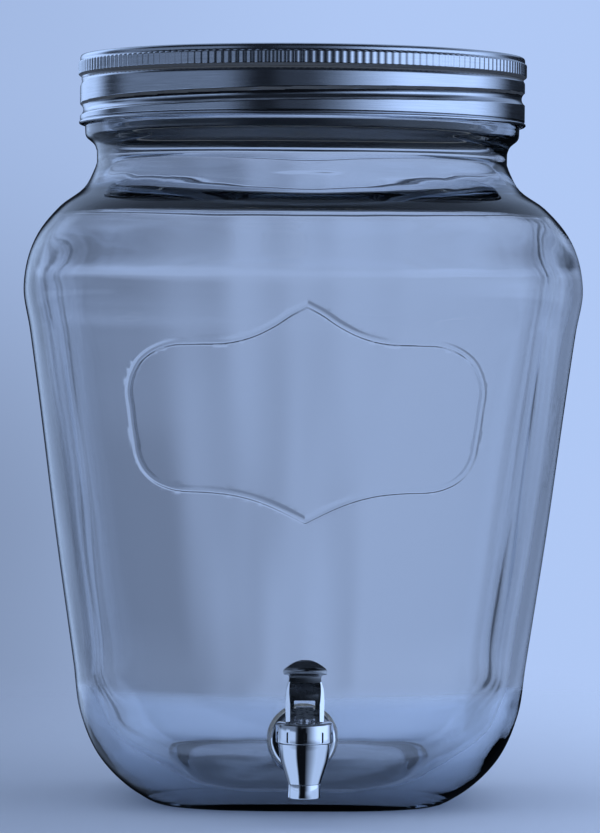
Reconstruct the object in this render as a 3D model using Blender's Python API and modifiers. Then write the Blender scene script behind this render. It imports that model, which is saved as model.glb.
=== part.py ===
"""Square-shouldered glass beverage jar with a pressed screw lid and a lever tap.

Metres, +Z up. The jar stands on z = 0, its tap points along -Y, and the jar's own axis is
set back along +Y so that the whole object is centred on the origin.
"""

from math import cos, hypot, pi, radians, sin

import bmesh
import bpy
from mathutils import Vector

# Fits and faceting
GAP = 0.0003
OVERRUN = 0.001
WELD = 0.000001
ROUND_STEPS = 48
SMALL_STEPS = 24
SHARP_ANGLE = radians(35)

# Glass body
HALF_WIDTH = 0.122
WIDEST_HEIGHT = 0.2257
SHOULDER_RISE = 0.0553
FOOT_HALF_WIDTH = 0.0655
FOOT_RING_WIDTH = 0.010
PUSH_UP = 0.0035
GLASS_WALL = 0.0045
GLASS_FLOOR = 0.009
# Height above the foot and width beyond it, as shares of the way to the widest point
SIDE_shares = [
    (0, 0), (0.032, 0.19), (0.089, 0.40), (0.178, 0.55), (0.27, 0.60), (0.527, 0.745),
    (0.823, 0.897), (0.92, 0.951), (1, 1),
]
SIDE_SQUARENESS = [3.0, 3.1, 3.3, 3.5, 3.7, 4.0, 4.2, 4.2, 4.2]
# Height above the widest point and width lost, as shares of the way to the neck
SHOULDER_shares = [(0, 0), (0.40, 0.165), (0.645, 0.485), (0.82, 0.845), (1, 1)]
SHOULDER_SQUARENESS = [4.2, 3.8, 3.1, 2.3, 2.0]

# Raised frame line of the bare label on the front
FRAME_BELOW_WIDEST = 0.053
FRAME_HALF_WIDTH = 0.0744
FRAME_HALF_HEIGHT = 0.0455
FRAME_LINE_RADIUS = 0.0015
FRAME_LINE_PROUD = 0.0008
# Right half from the upper peak to the lower one, as shares of the half width and half height
FRAME_shares = [
    (0, 1), (0.083, 0.93), (0.196, 0.81), (0.31, 0.72), (0.42, 0.67), (0.65, 0.65), (0.76, 0.64),
    (0.845, 0.595), (0.93, 0.50), (0.98, 0.365), (1, 0.23), (0.987, 0.02), (0.964, -0.25), (0.943, -0.42),
    (0.90, -0.55), (0.845, -0.63), (0.76, -0.69), (0.535, -0.72), (0.42, -0.74), (0.31, -0.78),
    (0.196, -0.845), (0.083, -0.93), (0, -1),
]

# Glass neck, transfer bead and finish
NECK_RADIUS = 0.0911
NECK_LENGTH = 0.0105
TRANSFER_BEAD_LENGTH = 0.0065
TRANSFER_BEAD_PROUD = 0.0009
FINISH_LENGTH = 0.028
FINISH_BEYOND_NECK = 0.0045
FINISH_WALL = 0.0051
RIM_ROUNDING = 0.0018
MOUTH_DEPTH = 0.012

# Screw thread shared by the glass bead and the lid's pressed groove
THREAD_PITCH = 0.0125
THREAD_PROUD = 0.002
THREAD_PLAY = 0.0006
THREAD_BEAD_SIZE = 0.0026
THREAD_BEAD_LIFT = 0.0048
THREAD_BEAD_START = radians(112.5)
THREAD_BEAD_END = radians(502.5)
GROOVE_DEPTH = 0.0019
GROOVE_SIZE = 0.004
GROOVE_HEIGHT_AT_LEFT = 0.0063
GROOVE_START = radians(120)
GROOVE_END = radians(667.5)
RUN_OUT = radians(30)

# Pressed metal lid and its liner
LID_ABOVE_BEAD = 0.0005
LID_SHEET = 0.0006
LID_CORNER = 0.0024
LID_HEM = 0.0008
KNURL_PROUD = 0.0008
KNURL_BAND_HEIGHT = 0.0048
PANEL_RIM_WIDTH = 0.0128
PANEL_DEPTH = 0.0015
LINER_THICKNESS = 0.0018
LINER_LIP = 0.0005

# Glass boss and the fastening of the tap
TAP_HEIGHT = 0.0345
BOSS_RADIUS = 0.01875
BOSS_PROUD = 0.0014
BOSS_DRAFT = 0.0012
HOLE_PLAY = 0.00075
SPOTFACE_MARGIN = 0.0015
SHANK_RADIUS = 0.00775
SHANK_BEYOND_NUT = 0.004
BORE_RADIUS = 0.0033
FLANGE_RADIUS = 0.01375
FLANGE_THICKNESS = 0.0025
FLANGE_OVERHANG = 0.00125
INNER_WASHER_RADIUS = 0.0135
RUBBER_WASHER_THICKNESS = 0.002
STEEL_WASHER_RADIUS = 0.013
STEEL_WASHER_THICKNESS = 0.0012
NUT_CORNER_RADIUS = 0.0138
NUT_THICKNESS = 0.006

# Valve body, from the nozzle up
VALVE_STANDOFF = 0.0285
INLET_BELOW_SHANK = 0.0077
SEAT_BELOW_INLET = 0.0038
NOZZLE_BELOW_SEAT = 0.0046
NOZZLE_LENGTH = 0.0061
NOZZLE_RADIUS = 0.00685
NOZZLE_WALL = 0.00235
BODY_ABOVE_INLET = 0.0084
BODY_RADIUS = 0.011
NECK_OF_VALVE_LENGTH = 0.0053
NECK_OF_VALVE_STEP = 0.0014
NECK_OF_VALVE_WALL = 0.0018
SEAT_CHAMBER_STEP = 0.0012
BARREL_RADIUS = 0.0072
BARREL_END_RADIUS = 0.0055
# Outward and downward shares of the way from the flange to the inlet
BARREL_shares = [(0, 0), (0.12, 0.03), (0.28, 0.42), (0.46, 0.86), (1, 1)]

# Bonnet over the valve
BONNET_BEYOND_BODY = 0.001
BONNET_CHAMFER = 0.0008
BONNET_CEILING = 0.0022
SEAL_THICKNESS = 0.0007
NOTCH_COUNT = 10
NOTCH_WIDTH = 0.0012
NOTCH_DEPTH = 0.0005
NOTCH_HEIGHT = 0.0038
NOTCH_FOOT = 0.0007

# Stem, cup and closing spring
STEM_RADIUS = 0.0025
CUP_PLAY = 0.001
CUP_HEIGHT = 0.0042
CUP_FLOOR = 0.0009
COLLAR_RADIUS = 0.005
COLLAR_THICKNESS = 0.001
SPRING_TURNS = 5
SPRING_POINTS_PER_TURN = 10
SPRING_RADIUS = 0.0045
WIRE_RADIUS = 0.0005
HEAD_PLAY = 0.0008
HEAD_DEPTH = 0.006
HEAD_TOP_ABOVE_PIN = 0.0027

# Lever and its pin
PIN_ABOVE_FOOT = 0.0034
PIN_RADIUS = 0.0013
LEVER_SWING = radians(50)
LIFT_PER_RADIAN = 0.0036
CAM_STEPS = 6
FOOT_BACK = 0.0042
LEVER_TOP = 0.0226
LEVER_REACH = 0.009
RAIL_HALF_WIDTH = 0.0079
WAIST_HALF_WIDTH = 0.00675
TIP_HALF_WIDTH = 0.0092
SLOT_HALF_WIDTH = 0.0044
SLOT_TOP = 0.0068
# Side view of the lever: shares of its forward reach and of its height above the pin
LEVER_BACK_shares = [(0.51, 0.07), (0.47, 0.31), (0.29, 0.55), (-0.07, 0.78), (-0.51, 0.94), (-0.82, 1)]
LEVER_FRONT_shares = [
    (-0.98, 0.97), (-1, 0.91), (-0.73, 0.78), (-0.51, 0.60), (-0.47, 0.42), (-0.58, 0.24), (-0.77, 0.07),
]
# Front view of the lever: height of each width, as shares of the height above the pin
RAIL_END_share, WAIST_share, TIP_share, TIP_TOP_share = 0.50, 0.68, 0.81, 0.91
CROWN_share = 0.55

# Heights and distances that follow from the sizes above
BODY_HEIGHT = WIDEST_HEIGHT + SHOULDER_RISE
FRAME_HEIGHT = WIDEST_HEIGHT - FRAME_BELOW_WIDEST
NECK_TOP = BODY_HEIGHT + NECK_LENGTH
TRANSFER_BEAD_TOP = NECK_TOP + TRANSFER_BEAD_LENGTH
RIM_HEIGHT = TRANSFER_BEAD_TOP + FINISH_LENGTH
FINISH_RADIUS = NECK_RADIUS + FINISH_BEYOND_NECK
TRANSFER_BEAD_RADIUS = FINISH_RADIUS + TRANSFER_BEAD_PROUD
MOUTH_RADIUS = FINISH_RADIUS - FINISH_WALL
THREAD_CREST_RADIUS = FINISH_RADIUS + THREAD_PROUD
LID_RADIUS = THREAD_CREST_RADIUS + THREAD_PLAY + LID_SHEET
LID_BOTTOM = TRANSFER_BEAD_TOP + LID_ABOVE_BEAD
LID_HEIGHT = RIM_HEIGHT + GAP + LINER_THICKNESS + GAP + LID_SHEET - LID_BOTTOM
PANEL_RADIUS = LID_RADIUS - PANEL_RIM_WIDTH
LINER_OUTER_RADIUS = FINISH_RADIUS + GAP
LINER_INNER_RADIUS = MOUTH_RADIUS - LINER_LIP
HOLE_RADIUS = SHANK_RADIUS + HOLE_PLAY
SPOTFACE_RADIUS = INNER_WASHER_RADIUS + SPOTFACE_MARGIN
OUTER_WASHER_RADIUS = FLANGE_RADIUS - FLANGE_OVERHANG
INLET_HEIGHT = TAP_HEIGHT - INLET_BELOW_SHANK
SEAT_HEIGHT = INLET_HEIGHT - SEAT_BELOW_INLET
NOZZLE_TOP = SEAT_HEIGHT - NOZZLE_BELOW_SEAT
NOZZLE_BOTTOM = NOZZLE_TOP - NOZZLE_LENGTH
BODY_TOP = INLET_HEIGHT + BODY_ABOVE_INLET
NECK_OF_VALVE_TOP = BODY_TOP + NECK_OF_VALVE_LENGTH
NECK_OF_VALVE_RADIUS = BODY_RADIUS - NECK_OF_VALVE_STEP
CHAMBER_RADIUS = NECK_OF_VALVE_RADIUS - NECK_OF_VALVE_WALL
SEAT_CHAMBER_RADIUS = CHAMBER_RADIUS - SEAT_CHAMBER_STEP
OUTLET_RADIUS = NOZZLE_RADIUS - NOZZLE_WALL
BONNET_RADIUS = BODY_RADIUS + BONNET_BEYOND_BODY
BONNET_BOTTOM = BODY_TOP + GAP
BONNET_TOP = NECK_OF_VALVE_TOP + GAP + SEAL_THICKNESS + GAP + BONNET_CEILING
PIN_HEIGHT = BONNET_TOP + GAP + PIN_ABOVE_FOOT
PIN_LENGTH = 2 * (RAIL_HALF_WIDTH - GAP)
HEAD_WIDTH = 2 * (SLOT_HALF_WIDTH - HEAD_PLAY)
CUP_RADIUS = SEAT_CHAMBER_RADIUS - CUP_PLAY
CUP_BOTTOM = SEAT_HEIGHT + GAP
STEM_BOTTOM = CUP_BOTTOM + CUP_FLOOR + GAP
COLLAR_BOTTOM = CUP_BOTTOM + CUP_HEIGHT + GAP
PIN_HOLE_RADIUS = PIN_RADIUS + GAP


def clear_scene():
    for obj in list(bpy.data.objects):
        bpy.data.objects.remove(obj)


def new_collection(name):
    collection = bpy.data.collections.new(name)
    bpy.context.scene.collection.children.link(collection)
    return collection


clear_scene()
PARTS = new_collection("kombucha_brewing_jar")
CUTTERS = new_collection("cutters")


def material(name, colour, roughness, metallic=0.0, transmission=0.0):
    made = bpy.data.materials.new(name)
    made.use_nodes = True
    made.diffuse_color = (*colour, 1)
    shader = made.node_tree.nodes["Principled BSDF"]
    shader.inputs["Base Color"].default_value = (*colour, 1)
    shader.inputs["Roughness"].default_value = roughness
    shader.inputs["Metallic"].default_value = metallic
    shader.inputs["Transmission Weight"].default_value = transmission
    return made


def place(obj, collection, parent, location=(0, 0, 0), rotation=(0, 0, 0)):
    collection.objects.link(obj)
    obj.parent = parent
    obj.location = location
    obj.rotation_euler = rotation
    if collection is CUTTERS:
        obj.hide_render = True
        obj.display_type = "WIRE"
    bpy.context.view_layer.update()
    return obj


def axis_empty(name, parent=None, location=(0, 0, 0), rotation=(0, 0, 0)):
    return place(bpy.data.objects.new(name, None), PARTS, parent, location, rotation)


def finish(obj, made):
    """Gives a piece its material and its smooth round faces."""
    obj.data.materials.append(made)
    if obj.data.polygons:
        obj.data.shade_smooth()
        obj.data.set_sharp_from_angle(angle=SHARP_ANGLE)
    return obj


def turned(name, profile, collection, parent, closed=False, steps=SMALL_STEPS):
    """Turns a profile of (radius, height) points, which runs down the outer side, about Z."""
    mesh = bpy.data.meshes.new(name)
    edges = [(i, i + 1) for i in range(len(profile) - 1)]
    if closed:
        edges.append((len(profile) - 1, 0))
    mesh.from_pydata([(radius, 0, height) for radius, height in profile], edges, [])
    obj = place(bpy.data.objects.new(name, mesh), collection, parent)
    screw = obj.modifiers.new("turn", "SCREW")
    screw.steps = screw.render_steps = steps
    screw.use_merge_vertices = True
    screw.merge_threshold = WELD
    screw.use_smooth_shade = False
    return obj


def ring_profile(inner, outer, bottom, top):
    return [(inner, top), (outer, top), (outer, bottom), (inner, bottom)]


def rod_profile(radius, bottom, top):
    return [(0, top), (radius, top), (radius, bottom), (0, bottom)]


def solid_from_curve(obj, collection):
    """Replaces a curve object by its mesh, with the loose caps welded on."""
    bpy.context.view_layer.update()
    graph = bpy.context.evaluated_depsgraph_get()
    mesh = bpy.data.meshes.new_from_object(obj.evaluated_get(graph))
    shape = bmesh.new()
    shape.from_mesh(mesh)
    bmesh.ops.remove_doubles(shape, verts=shape.verts, dist=WELD)
    shape.to_mesh(mesh)
    shape.free()
    name, world = obj.name, obj.matrix_world.copy()
    parent = obj.parent
    bpy.data.objects.remove(obj)
    mesh.materials.clear()
    solid = place(bpy.data.objects.new(name, mesh), collection, parent)
    solid.matrix_world = world
    bpy.context.view_layer.update()
    return solid


def tube(name, points, radius, collection, parent, shares=None, resolution=2, cyclic=False):
    """A round tube along the points; shares scale its radius at each of them."""
    curve = bpy.data.curves.new(name, "CURVE")
    curve.dimensions = "3D"
    curve.twist_mode = "MINIMUM" if cyclic else "Z_UP"
    curve.bevel_depth = radius
    curve.bevel_resolution = resolution
    curve.use_fill_caps = True
    spline = curve.splines.new("POLY")
    spline.points.add(len(points) - 1)
    for i, (target, point) in enumerate(zip(spline.points, points)):
        target.co = (*point, 1)
        target.radius = shares[i] if shares else 1
    spline.use_cyclic_u = cyclic
    obj = place(bpy.data.objects.new(name, curve), collection, parent)
    return solid_from_curve(obj, collection)


def plate(name, outline, thickness, collection, parent, rotation):
    """A flat closed outline made into a plate of this thickness about its own plane."""
    curve = bpy.data.curves.new(name, "CURVE")
    curve.dimensions = "2D"
    curve.fill_mode = "BOTH"
    curve.extrude = thickness / 2
    spline = curve.splines.new("POLY")
    spline.points.add(len(outline) - 1)
    for target, (x, y) in zip(spline.points, outline):
        target.co = (x, y, 0, 1)
    spline.use_cyclic_u = True
    obj = place(bpy.data.objects.new(name, curve), collection, parent, rotation=rotation)
    return solid_from_curve(obj, collection)


def cylinder(name, radius, bottom, top, parent, top_radius=None, steps=SMALL_STEPS, rotation=(0, 0, 0)):
    """A cutter or joining piece: a cylinder or cone about its own Z."""
    shape = bmesh.new()
    bmesh.ops.create_cone(
        shape, cap_ends=True, segments=steps, radius1=radius,
        radius2=radius if top_radius is None else top_radius, depth=top - bottom,
    )
    bmesh.ops.translate(shape, verts=shape.verts, vec=(0, 0, (top + bottom) / 2))
    mesh = bpy.data.meshes.new(name)
    shape.to_mesh(mesh)
    shape.free()
    return place(bpy.data.objects.new(name, mesh), CUTTERS, parent, rotation=rotation)


def box(name, low, high, collection, parent):
    shape = bmesh.new()
    bmesh.ops.create_cube(shape, size=1)
    low, high = Vector(low), Vector(high)
    bmesh.ops.scale(shape, verts=shape.verts, vec=high - low)
    bmesh.ops.translate(shape, verts=shape.verts, vec=(low + high) / 2)
    mesh = bpy.data.meshes.new(name)
    shape.to_mesh(mesh)
    shape.free()
    return place(bpy.data.objects.new(name, mesh), collection, parent)


def boolean(obj, other, operation):
    modifier = obj.modifiers.new(f"{operation.lower()} {other.name}", "BOOLEAN")
    modifier.operation = operation
    modifier.object = other
    modifier.solver = "EXACT"


def smooth_curve(knots, steps):
    """Points of a smooth curve through the knots, steps to a span, paced by the first two coordinates."""
    points = [Vector(knot) for knot in knots]
    spans = [hypot(b[0] - a[0], b[1] - a[1]) for a, b in zip(points, points[1:])]
    slopes = [(b - a) / span for a, b, span in zip(points, points[1:], spans)]
    inner = [
        (slopes[i] * spans[i + 1] + slopes[i + 1] * spans[i]) / (spans[i] + spans[i + 1])
        for i in range(len(slopes) - 1)
    ]
    tangents = [slopes[0], *inner, slopes[-1]]
    curve = []
    for i, span in enumerate(spans):
        for step in range(steps):
            t = step / steps
            from_start = (1 + 2 * t) * (1 - t) ** 2 * points[i] + t * (1 - t) ** 2 * span * tangents[i]
            from_end = t * t * (3 - 2 * t) * points[i + 1] - t * t * (1 - t) * span * tangents[i + 1]
            curve.append(from_start + from_end)
    return [*curve, points[-1]]


def body_outline(steps):
    """The glass body's (half width, height, squareness) from the foot to the neck."""
    knots = [
        (FOOT_HALF_WIDTH + out * (HALF_WIDTH - FOOT_HALF_WIDTH), up * WIDEST_HEIGHT, squareness)
        for (up, out), squareness in zip(SIDE_shares, SIDE_SQUARENESS)
    ]
    knots += [
        (HALF_WIDTH - lost * (HALF_WIDTH - NECK_RADIUS),
         WIDEST_HEIGHT + up * (BODY_HEIGHT - WIDEST_HEIGHT), squareness)
        for (up, lost), squareness in zip(SHOULDER_shares[1:], SHOULDER_SQUARENESS[1:])
    ]
    return smooth_curve(knots, steps)


def inner_outline(steps):
    """The body's outline moved in by the wall and squeezed up above the floor."""
    squeeze = (BODY_HEIGHT - GLASS_FLOOR) / BODY_HEIGHT
    return [
        Vector((width - GLASS_WALL, GLASS_FLOOR + height * squeeze, squareness))
        for width, height, squareness in body_outline(steps)
    ]


def section_at(outline, height):
    """The half width and the squareness of an outline at a height."""
    for low, high in zip(outline, outline[1:]):
        if low[1] <= height <= high[1]:
            section = low.lerp(high, (height - low[1]) / (high[1] - low[1]))
            return section[0], section[2]
    return outline[-1][0], outline[-1][2]


def width_at(outline, height):
    return section_at(outline, height)[0]


OUTER_FINE = body_outline(8)
INNER_FINE = inner_outline(8)
BOSS_FACE = width_at(OUTER_FINE, TAP_HEIGHT + BOSS_RADIUS) + BOSS_PROUD
SEAT_FACE = width_at(INNER_FINE, TAP_HEIGHT + SPOTFACE_RADIUS) + GAP
FLANGE_BACK = BOSS_FACE + GAP + RUBBER_WASHER_THICKNESS + GAP
FLANGE_FRONT = FLANGE_BACK + FLANGE_THICKNESS
VALVE_AXIS = BOSS_FACE + VALVE_STANDOFF
INNER_WASHER_END = SEAT_FACE - GAP - RUBBER_WASHER_THICKNESS
STEEL_WASHER_END = INNER_WASHER_END - GAP - STEEL_WASHER_THICKNESS
NUT_END = STEEL_WASHER_END - GAP - NUT_THICKNESS
SHANK_END = NUT_END - SHANK_BEYOND_NUT

JAR_AXIS = axis_empty("jar_axis", location=(0, (VALVE_AXIS + BONNET_RADIUS - HALF_WIDTH) / 2, 0))
SHANK_AXIS = axis_empty("shank_axis", JAR_AXIS, (0, 0, TAP_HEIGHT), (pi / 2, 0, 0))
STEM_AXIS = axis_empty("stem_axis", JAR_AXIS, (0, -VALVE_AXIS, 0))
LEVER_AXIS = axis_empty("lever_axis", STEM_AXIS, (0, 0, PIN_HEIGHT))


def rounded_square(half_width, height, squareness):
    """One ring of the glass: a circle at squareness 2, squarer above it."""
    points = []
    for i in range(ROUND_STEPS):
        angle = 2 * pi * i / ROUND_STEPS
        across = abs(cos(angle)) ** squareness + abs(sin(angle)) ** squareness
        reach = half_width * across ** (-1 / squareness)
        points.append((reach * cos(angle), reach * sin(angle), height))
    return points


def loft(name, rings, collection, parent):
    """A closed solid through the rings, with flat ends."""
    shape = bmesh.new()
    loops = [[shape.verts.new(point) for point in rounded_square(*ring)] for ring in rings]
    for lower, upper in zip(loops, loops[1:]):
        for i in range(ROUND_STEPS):
            following = (i + 1) % ROUND_STEPS
            shape.faces.new((lower[i], lower[following], upper[following], upper[i]))
    shape.faces.new(reversed(loops[0]))
    shape.faces.new(loops[-1])
    mesh = bpy.data.meshes.new(name)
    shape.to_mesh(mesh)
    shape.free()
    return place(bpy.data.objects.new(name, mesh), collection, parent)


def helix(radius, start, end, height_at_left, fade):
    """Points of the thread's path; at both ends it moves out of the metal or glass by fade."""
    step = 2 * pi / ROUND_STEPS
    points = []
    for i in range(round((end - start) / step) + 1):
        angle = start + i * step
        to_end = min(angle - start, end - angle)
        reach = radius + fade * max(0, 1 - to_end / RUN_OUT)
        height = height_at_left + THREAD_PITCH * (angle - pi) / (2 * pi)
        points.append((reach * cos(angle), reach * sin(angle), height))
    return points


def label_frame():
    """Points of the frame line, laid on the jar's front just below the surface."""
    right = FRAME_shares[1:-1]
    around = [FRAME_shares[0], *right, FRAME_shares[-1], *[(-across, up) for across, up in reversed(right)]]
    points = []
    for across, up in around:
        x, height = across * FRAME_HALF_WIDTH, FRAME_HEIGHT + up * FRAME_HALF_HEIGHT
        width, squareness = section_at(OUTER_FINE, height)
        depth = width * (1 - abs(x / width) ** squareness) ** (1 / squareness)
        points.append((x, -depth - FRAME_LINE_PROUD + FRAME_LINE_RADIUS, height))
    return points


def add_glass_jar():
    round_ring = SHOULDER_SQUARENESS[-1]
    bead_mid = (NECK_TOP + TRANSFER_BEAD_TOP) / 2
    eased = RIM_ROUNDING * (1 - cos(pi / 4))
    shell = [
        (FOOT_HALF_WIDTH - FOOT_RING_WIDTH - PUSH_UP, PUSH_UP, SIDE_SQUARENESS[0]),
        (FOOT_HALF_WIDTH - FOOT_RING_WIDTH, 0, SIDE_SQUARENESS[0]),
        *body_outline(2),
        (NECK_RADIUS, NECK_TOP, round_ring),
        (TRANSFER_BEAD_RADIUS, (NECK_TOP + bead_mid) / 2, round_ring),
        (TRANSFER_BEAD_RADIUS, (TRANSFER_BEAD_TOP + bead_mid) / 2, round_ring),
        (FINISH_RADIUS, TRANSFER_BEAD_TOP, round_ring),
        (FINISH_RADIUS, RIM_HEIGHT - RIM_ROUNDING, round_ring),
        (FINISH_RADIUS - eased, RIM_HEIGHT - eased, round_ring),
        (FINISH_RADIUS - RIM_ROUNDING, RIM_HEIGHT, round_ring),
    ]
    cavity = [
        *inner_outline(1),
        (NECK_RADIUS - GLASS_WALL, NECK_TOP, round_ring),
        (MOUTH_RADIUS, RIM_HEIGHT - MOUTH_DEPTH, round_ring),
        (MOUTH_RADIUS, RIM_HEIGHT - RIM_ROUNDING, round_ring),
        (MOUTH_RADIUS + RIM_ROUNDING, RIM_HEIGHT + OVERRUN, round_ring),
    ]
    jar = loft("glass_jar", shell, PARTS, JAR_AXIS)
    boss = cylinder(
        "boss", BOSS_RADIUS + BOSS_DRAFT, width_at(INNER_FINE, TAP_HEIGHT - BOSS_RADIUS), BOSS_FACE,
        SHANK_AXIS, top_radius=BOSS_RADIUS, steps=ROUND_STEPS,
    )
    bead = tube(
        "thread_bead",
        helix(
            THREAD_CREST_RADIUS - THREAD_BEAD_SIZE, THREAD_BEAD_START, THREAD_BEAD_END,
            LID_BOTTOM + GROOVE_HEIGHT_AT_LEFT + THREAD_BEAD_LIFT, -THREAD_BEAD_SIZE,
        ),
        THREAD_BEAD_SIZE, CUTTERS, JAR_AXIS,
    )
    boolean(jar, boss, "UNION")
    boolean(jar, bead, "UNION")
    frame_line = tube("frame_line", label_frame(), FRAME_LINE_RADIUS, CUTTERS, JAR_AXIS, cyclic=True)
    boolean(jar, frame_line, "UNION")
    boolean(jar, loft("cavity", cavity, CUTTERS, JAR_AXIS), "DIFFERENCE")
    spotface = cylinder("spotface", SPOTFACE_RADIUS, SHANK_END - SPOTFACE_RADIUS, SEAT_FACE, SHANK_AXIS)
    hole = cylinder("tap_hole", HOLE_RADIUS, SHANK_END, BOSS_FACE + OVERRUN, SHANK_AXIS)
    boolean(jar, spotface, "DIFFERENCE")
    boolean(jar, hole, "DIFFERENCE")
    finish(jar, material("clear_glass", (0.80, 0.88, 0.95), 0.02, transmission=1.0))


def add_lid():
    top, inside = LID_HEIGHT, LID_RADIUS - LID_SHEET
    under = top - LID_SHEET
    corner = top - LID_CORNER
    knurl = LID_RADIUS + KNURL_PROUD
    knurl_top = corner - KNURL_PROUD
    knurl_bottom = knurl_top - KNURL_BAND_HEIGHT
    half = 1 - cos(pi / 4)
    profile = [
        (0, top - PANEL_DEPTH),
        (PANEL_RADIUS, top - PANEL_DEPTH),
        (PANEL_RADIUS + PANEL_DEPTH, top),
        (LID_RADIUS - LID_CORNER, top),
        (LID_RADIUS - LID_CORNER * half, top - LID_CORNER * half),
        (LID_RADIUS, corner),
        (knurl, knurl_top),
        (knurl, knurl_bottom),
        (LID_RADIUS, knurl_bottom - KNURL_PROUD),
        (LID_RADIUS, LID_HEM),
        (LID_RADIUS - LID_SHEET / 3, 0),
        (inside + LID_SHEET / 3, 0),
        (inside, LID_HEM),
        (inside, corner),
        (LID_RADIUS - LID_CORNER, under),
        (PANEL_RADIUS + PANEL_DEPTH + LID_SHEET, under),
        (PANEL_RADIUS + LID_SHEET, under - PANEL_DEPTH),
        (0, under - PANEL_DEPTH),
    ]
    lid_base = axis_empty("lid_base", JAR_AXIS, (0, 0, LID_BOTTOM))
    lid = turned("lid_shell", profile, PARTS, lid_base, steps=ROUND_STEPS)
    groove_axis = LID_RADIUS - GROOVE_DEPTH + GROOVE_SIZE
    path = helix(groove_axis, GROOVE_START, GROOVE_END, GROOVE_HEIGHT_AT_LEFT, GROOVE_DEPTH)
    ridge = tube("lid_ridge", path, GROOVE_SIZE + LID_SHEET, CUTTERS, lid_base)
    core = cylinder("lid_core", LID_RADIUS - LID_SHEET / 2, LID_HEM, knurl_top, lid_base, steps=ROUND_STEPS)
    boolean(ridge, core, "INTERSECT")
    boolean(lid, ridge, "UNION")
    boolean(lid, tube("lid_groove", path, GROOVE_SIZE, CUTTERS, lid_base), "DIFFERENCE")
    finish(lid, material("brushed_tinplate", (0.62, 0.64, 0.68), 0.30, metallic=1.0))

    liner_bottom = RIM_HEIGHT + GAP
    liner = turned(
        "lid_liner",
        ring_profile(LINER_INNER_RADIUS, LINER_OUTER_RADIUS, liner_bottom, liner_bottom + LINER_THICKNESS),
        PARTS, JAR_AXIS, closed=True, steps=ROUND_STEPS,
    )
    finish(liner, material("white_liner", (0.85, 0.85, 0.83), 0.6))


def barrel_path():
    """Centre points of the curved barrel, from the flange to the valve's inlet."""
    reach = VALVE_AXIS - FLANGE_BACK
    drop = TAP_HEIGHT - INLET_HEIGHT
    return [(0, -(FLANGE_BACK + out * reach), TAP_HEIGHT - down * drop) for out, down in BARREL_shares]


def add_tap_body(chrome):
    outer = [
        (0, NECK_OF_VALVE_TOP),
        (NECK_OF_VALVE_RADIUS, NECK_OF_VALVE_TOP),
        (NECK_OF_VALVE_RADIUS, BODY_TOP),
        (BODY_RADIUS, BODY_TOP),
        (BODY_RADIUS - BONNET_CHAMFER, INLET_HEIGHT + (BODY_TOP - INLET_HEIGHT) / 4),
        (NOZZLE_RADIUS + (BODY_RADIUS - NOZZLE_RADIUS) / 3, NOZZLE_TOP + BONNET_CEILING),
        (NOZZLE_RADIUS + BONNET_CHAMFER / 2, NOZZLE_TOP),
        (NOZZLE_RADIUS, NOZZLE_TOP - BONNET_CHAMFER),
        (NOZZLE_RADIUS, NOZZLE_BOTTOM + BONNET_CHAMFER / 2),
        (NOZZLE_RADIUS - BONNET_CHAMFER / 2, NOZZLE_BOTTOM),
        (0, NOZZLE_BOTTOM),
    ]
    body = turned("tap_body", outer, PARTS, STEM_AXIS)
    shank = [
        (0, FLANGE_FRONT),
        (FLANGE_RADIUS - BONNET_CHAMFER, FLANGE_FRONT),
        (FLANGE_RADIUS, FLANGE_FRONT - BONNET_CHAMFER),
        (FLANGE_RADIUS, FLANGE_BACK),
        (SHANK_RADIUS, FLANGE_BACK),
        (SHANK_RADIUS, SHANK_END),
        (0, SHANK_END),
    ]
    boolean(body, turned("flange_and_shank", shank, CUTTERS, SHANK_AXIS), "UNION")
    path = barrel_path()
    sizes = [1 + (BARREL_END_RADIUS / BARREL_RADIUS - 1) * i / (len(path) - 1) for i in range(len(path))]
    boolean(body, tube("barrel", path, BARREL_RADIUS, CUTTERS, JAR_AXIS, shares=sizes, resolution=4), "UNION")
    chamber = [
        (0, NECK_OF_VALVE_TOP + OVERRUN),
        (CHAMBER_RADIUS, NECK_OF_VALVE_TOP + OVERRUN),
        (CHAMBER_RADIUS, INLET_HEIGHT + BORE_RADIUS / 2),
        (SEAT_CHAMBER_RADIUS, SEAT_HEIGHT),
        (OUTLET_RADIUS, SEAT_HEIGHT),
        (OUTLET_RADIUS, NOZZLE_BOTTOM - OVERRUN),
        (0, NOZZLE_BOTTOM - OVERRUN),
    ]
    boolean(body, turned("chamber", chamber, CUTTERS, STEM_AXIS), "DIFFERENCE")
    bore = [(0, -(SHANK_END - OVERRUN), TAP_HEIGHT), *path]
    boolean(body, tube("bore", bore, BORE_RADIUS, CUTTERS, JAR_AXIS, resolution=4), "DIFFERENCE")
    finish(body, chrome)


def add_fastening(steel, rubber):
    """The washers and the nut that clamp the tap to the glass, from the outside in."""
    loose = SHANK_RADIUS + GAP
    rings = [
        ("outer_washer", OUTER_WASHER_RADIUS, BOSS_FACE + GAP, RUBBER_WASHER_THICKNESS, rubber),
        ("inner_washer", INNER_WASHER_RADIUS, INNER_WASHER_END, RUBBER_WASHER_THICKNESS, rubber),
        ("shank_washer", STEEL_WASHER_RADIUS, STEEL_WASHER_END, STEEL_WASHER_THICKNESS, steel),
    ]
    for name, radius, start, thickness, made in rings:
        profile = ring_profile(loose, radius, start, start + thickness)
        finish(turned(name, profile, PARTS, SHANK_AXIS, closed=True), made)
    nut_profile = rod_profile(NUT_CORNER_RADIUS, NUT_END, NUT_END + NUT_THICKNESS)
    nut = turned("shank_nut", nut_profile, PARTS, SHANK_AXIS, steps=6)
    boolean(nut, cylinder("nut_bore", loose, NUT_END - OVERRUN, STEEL_WASHER_END, SHANK_AXIS), "DIFFERENCE")
    finish(nut, steel)


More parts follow.
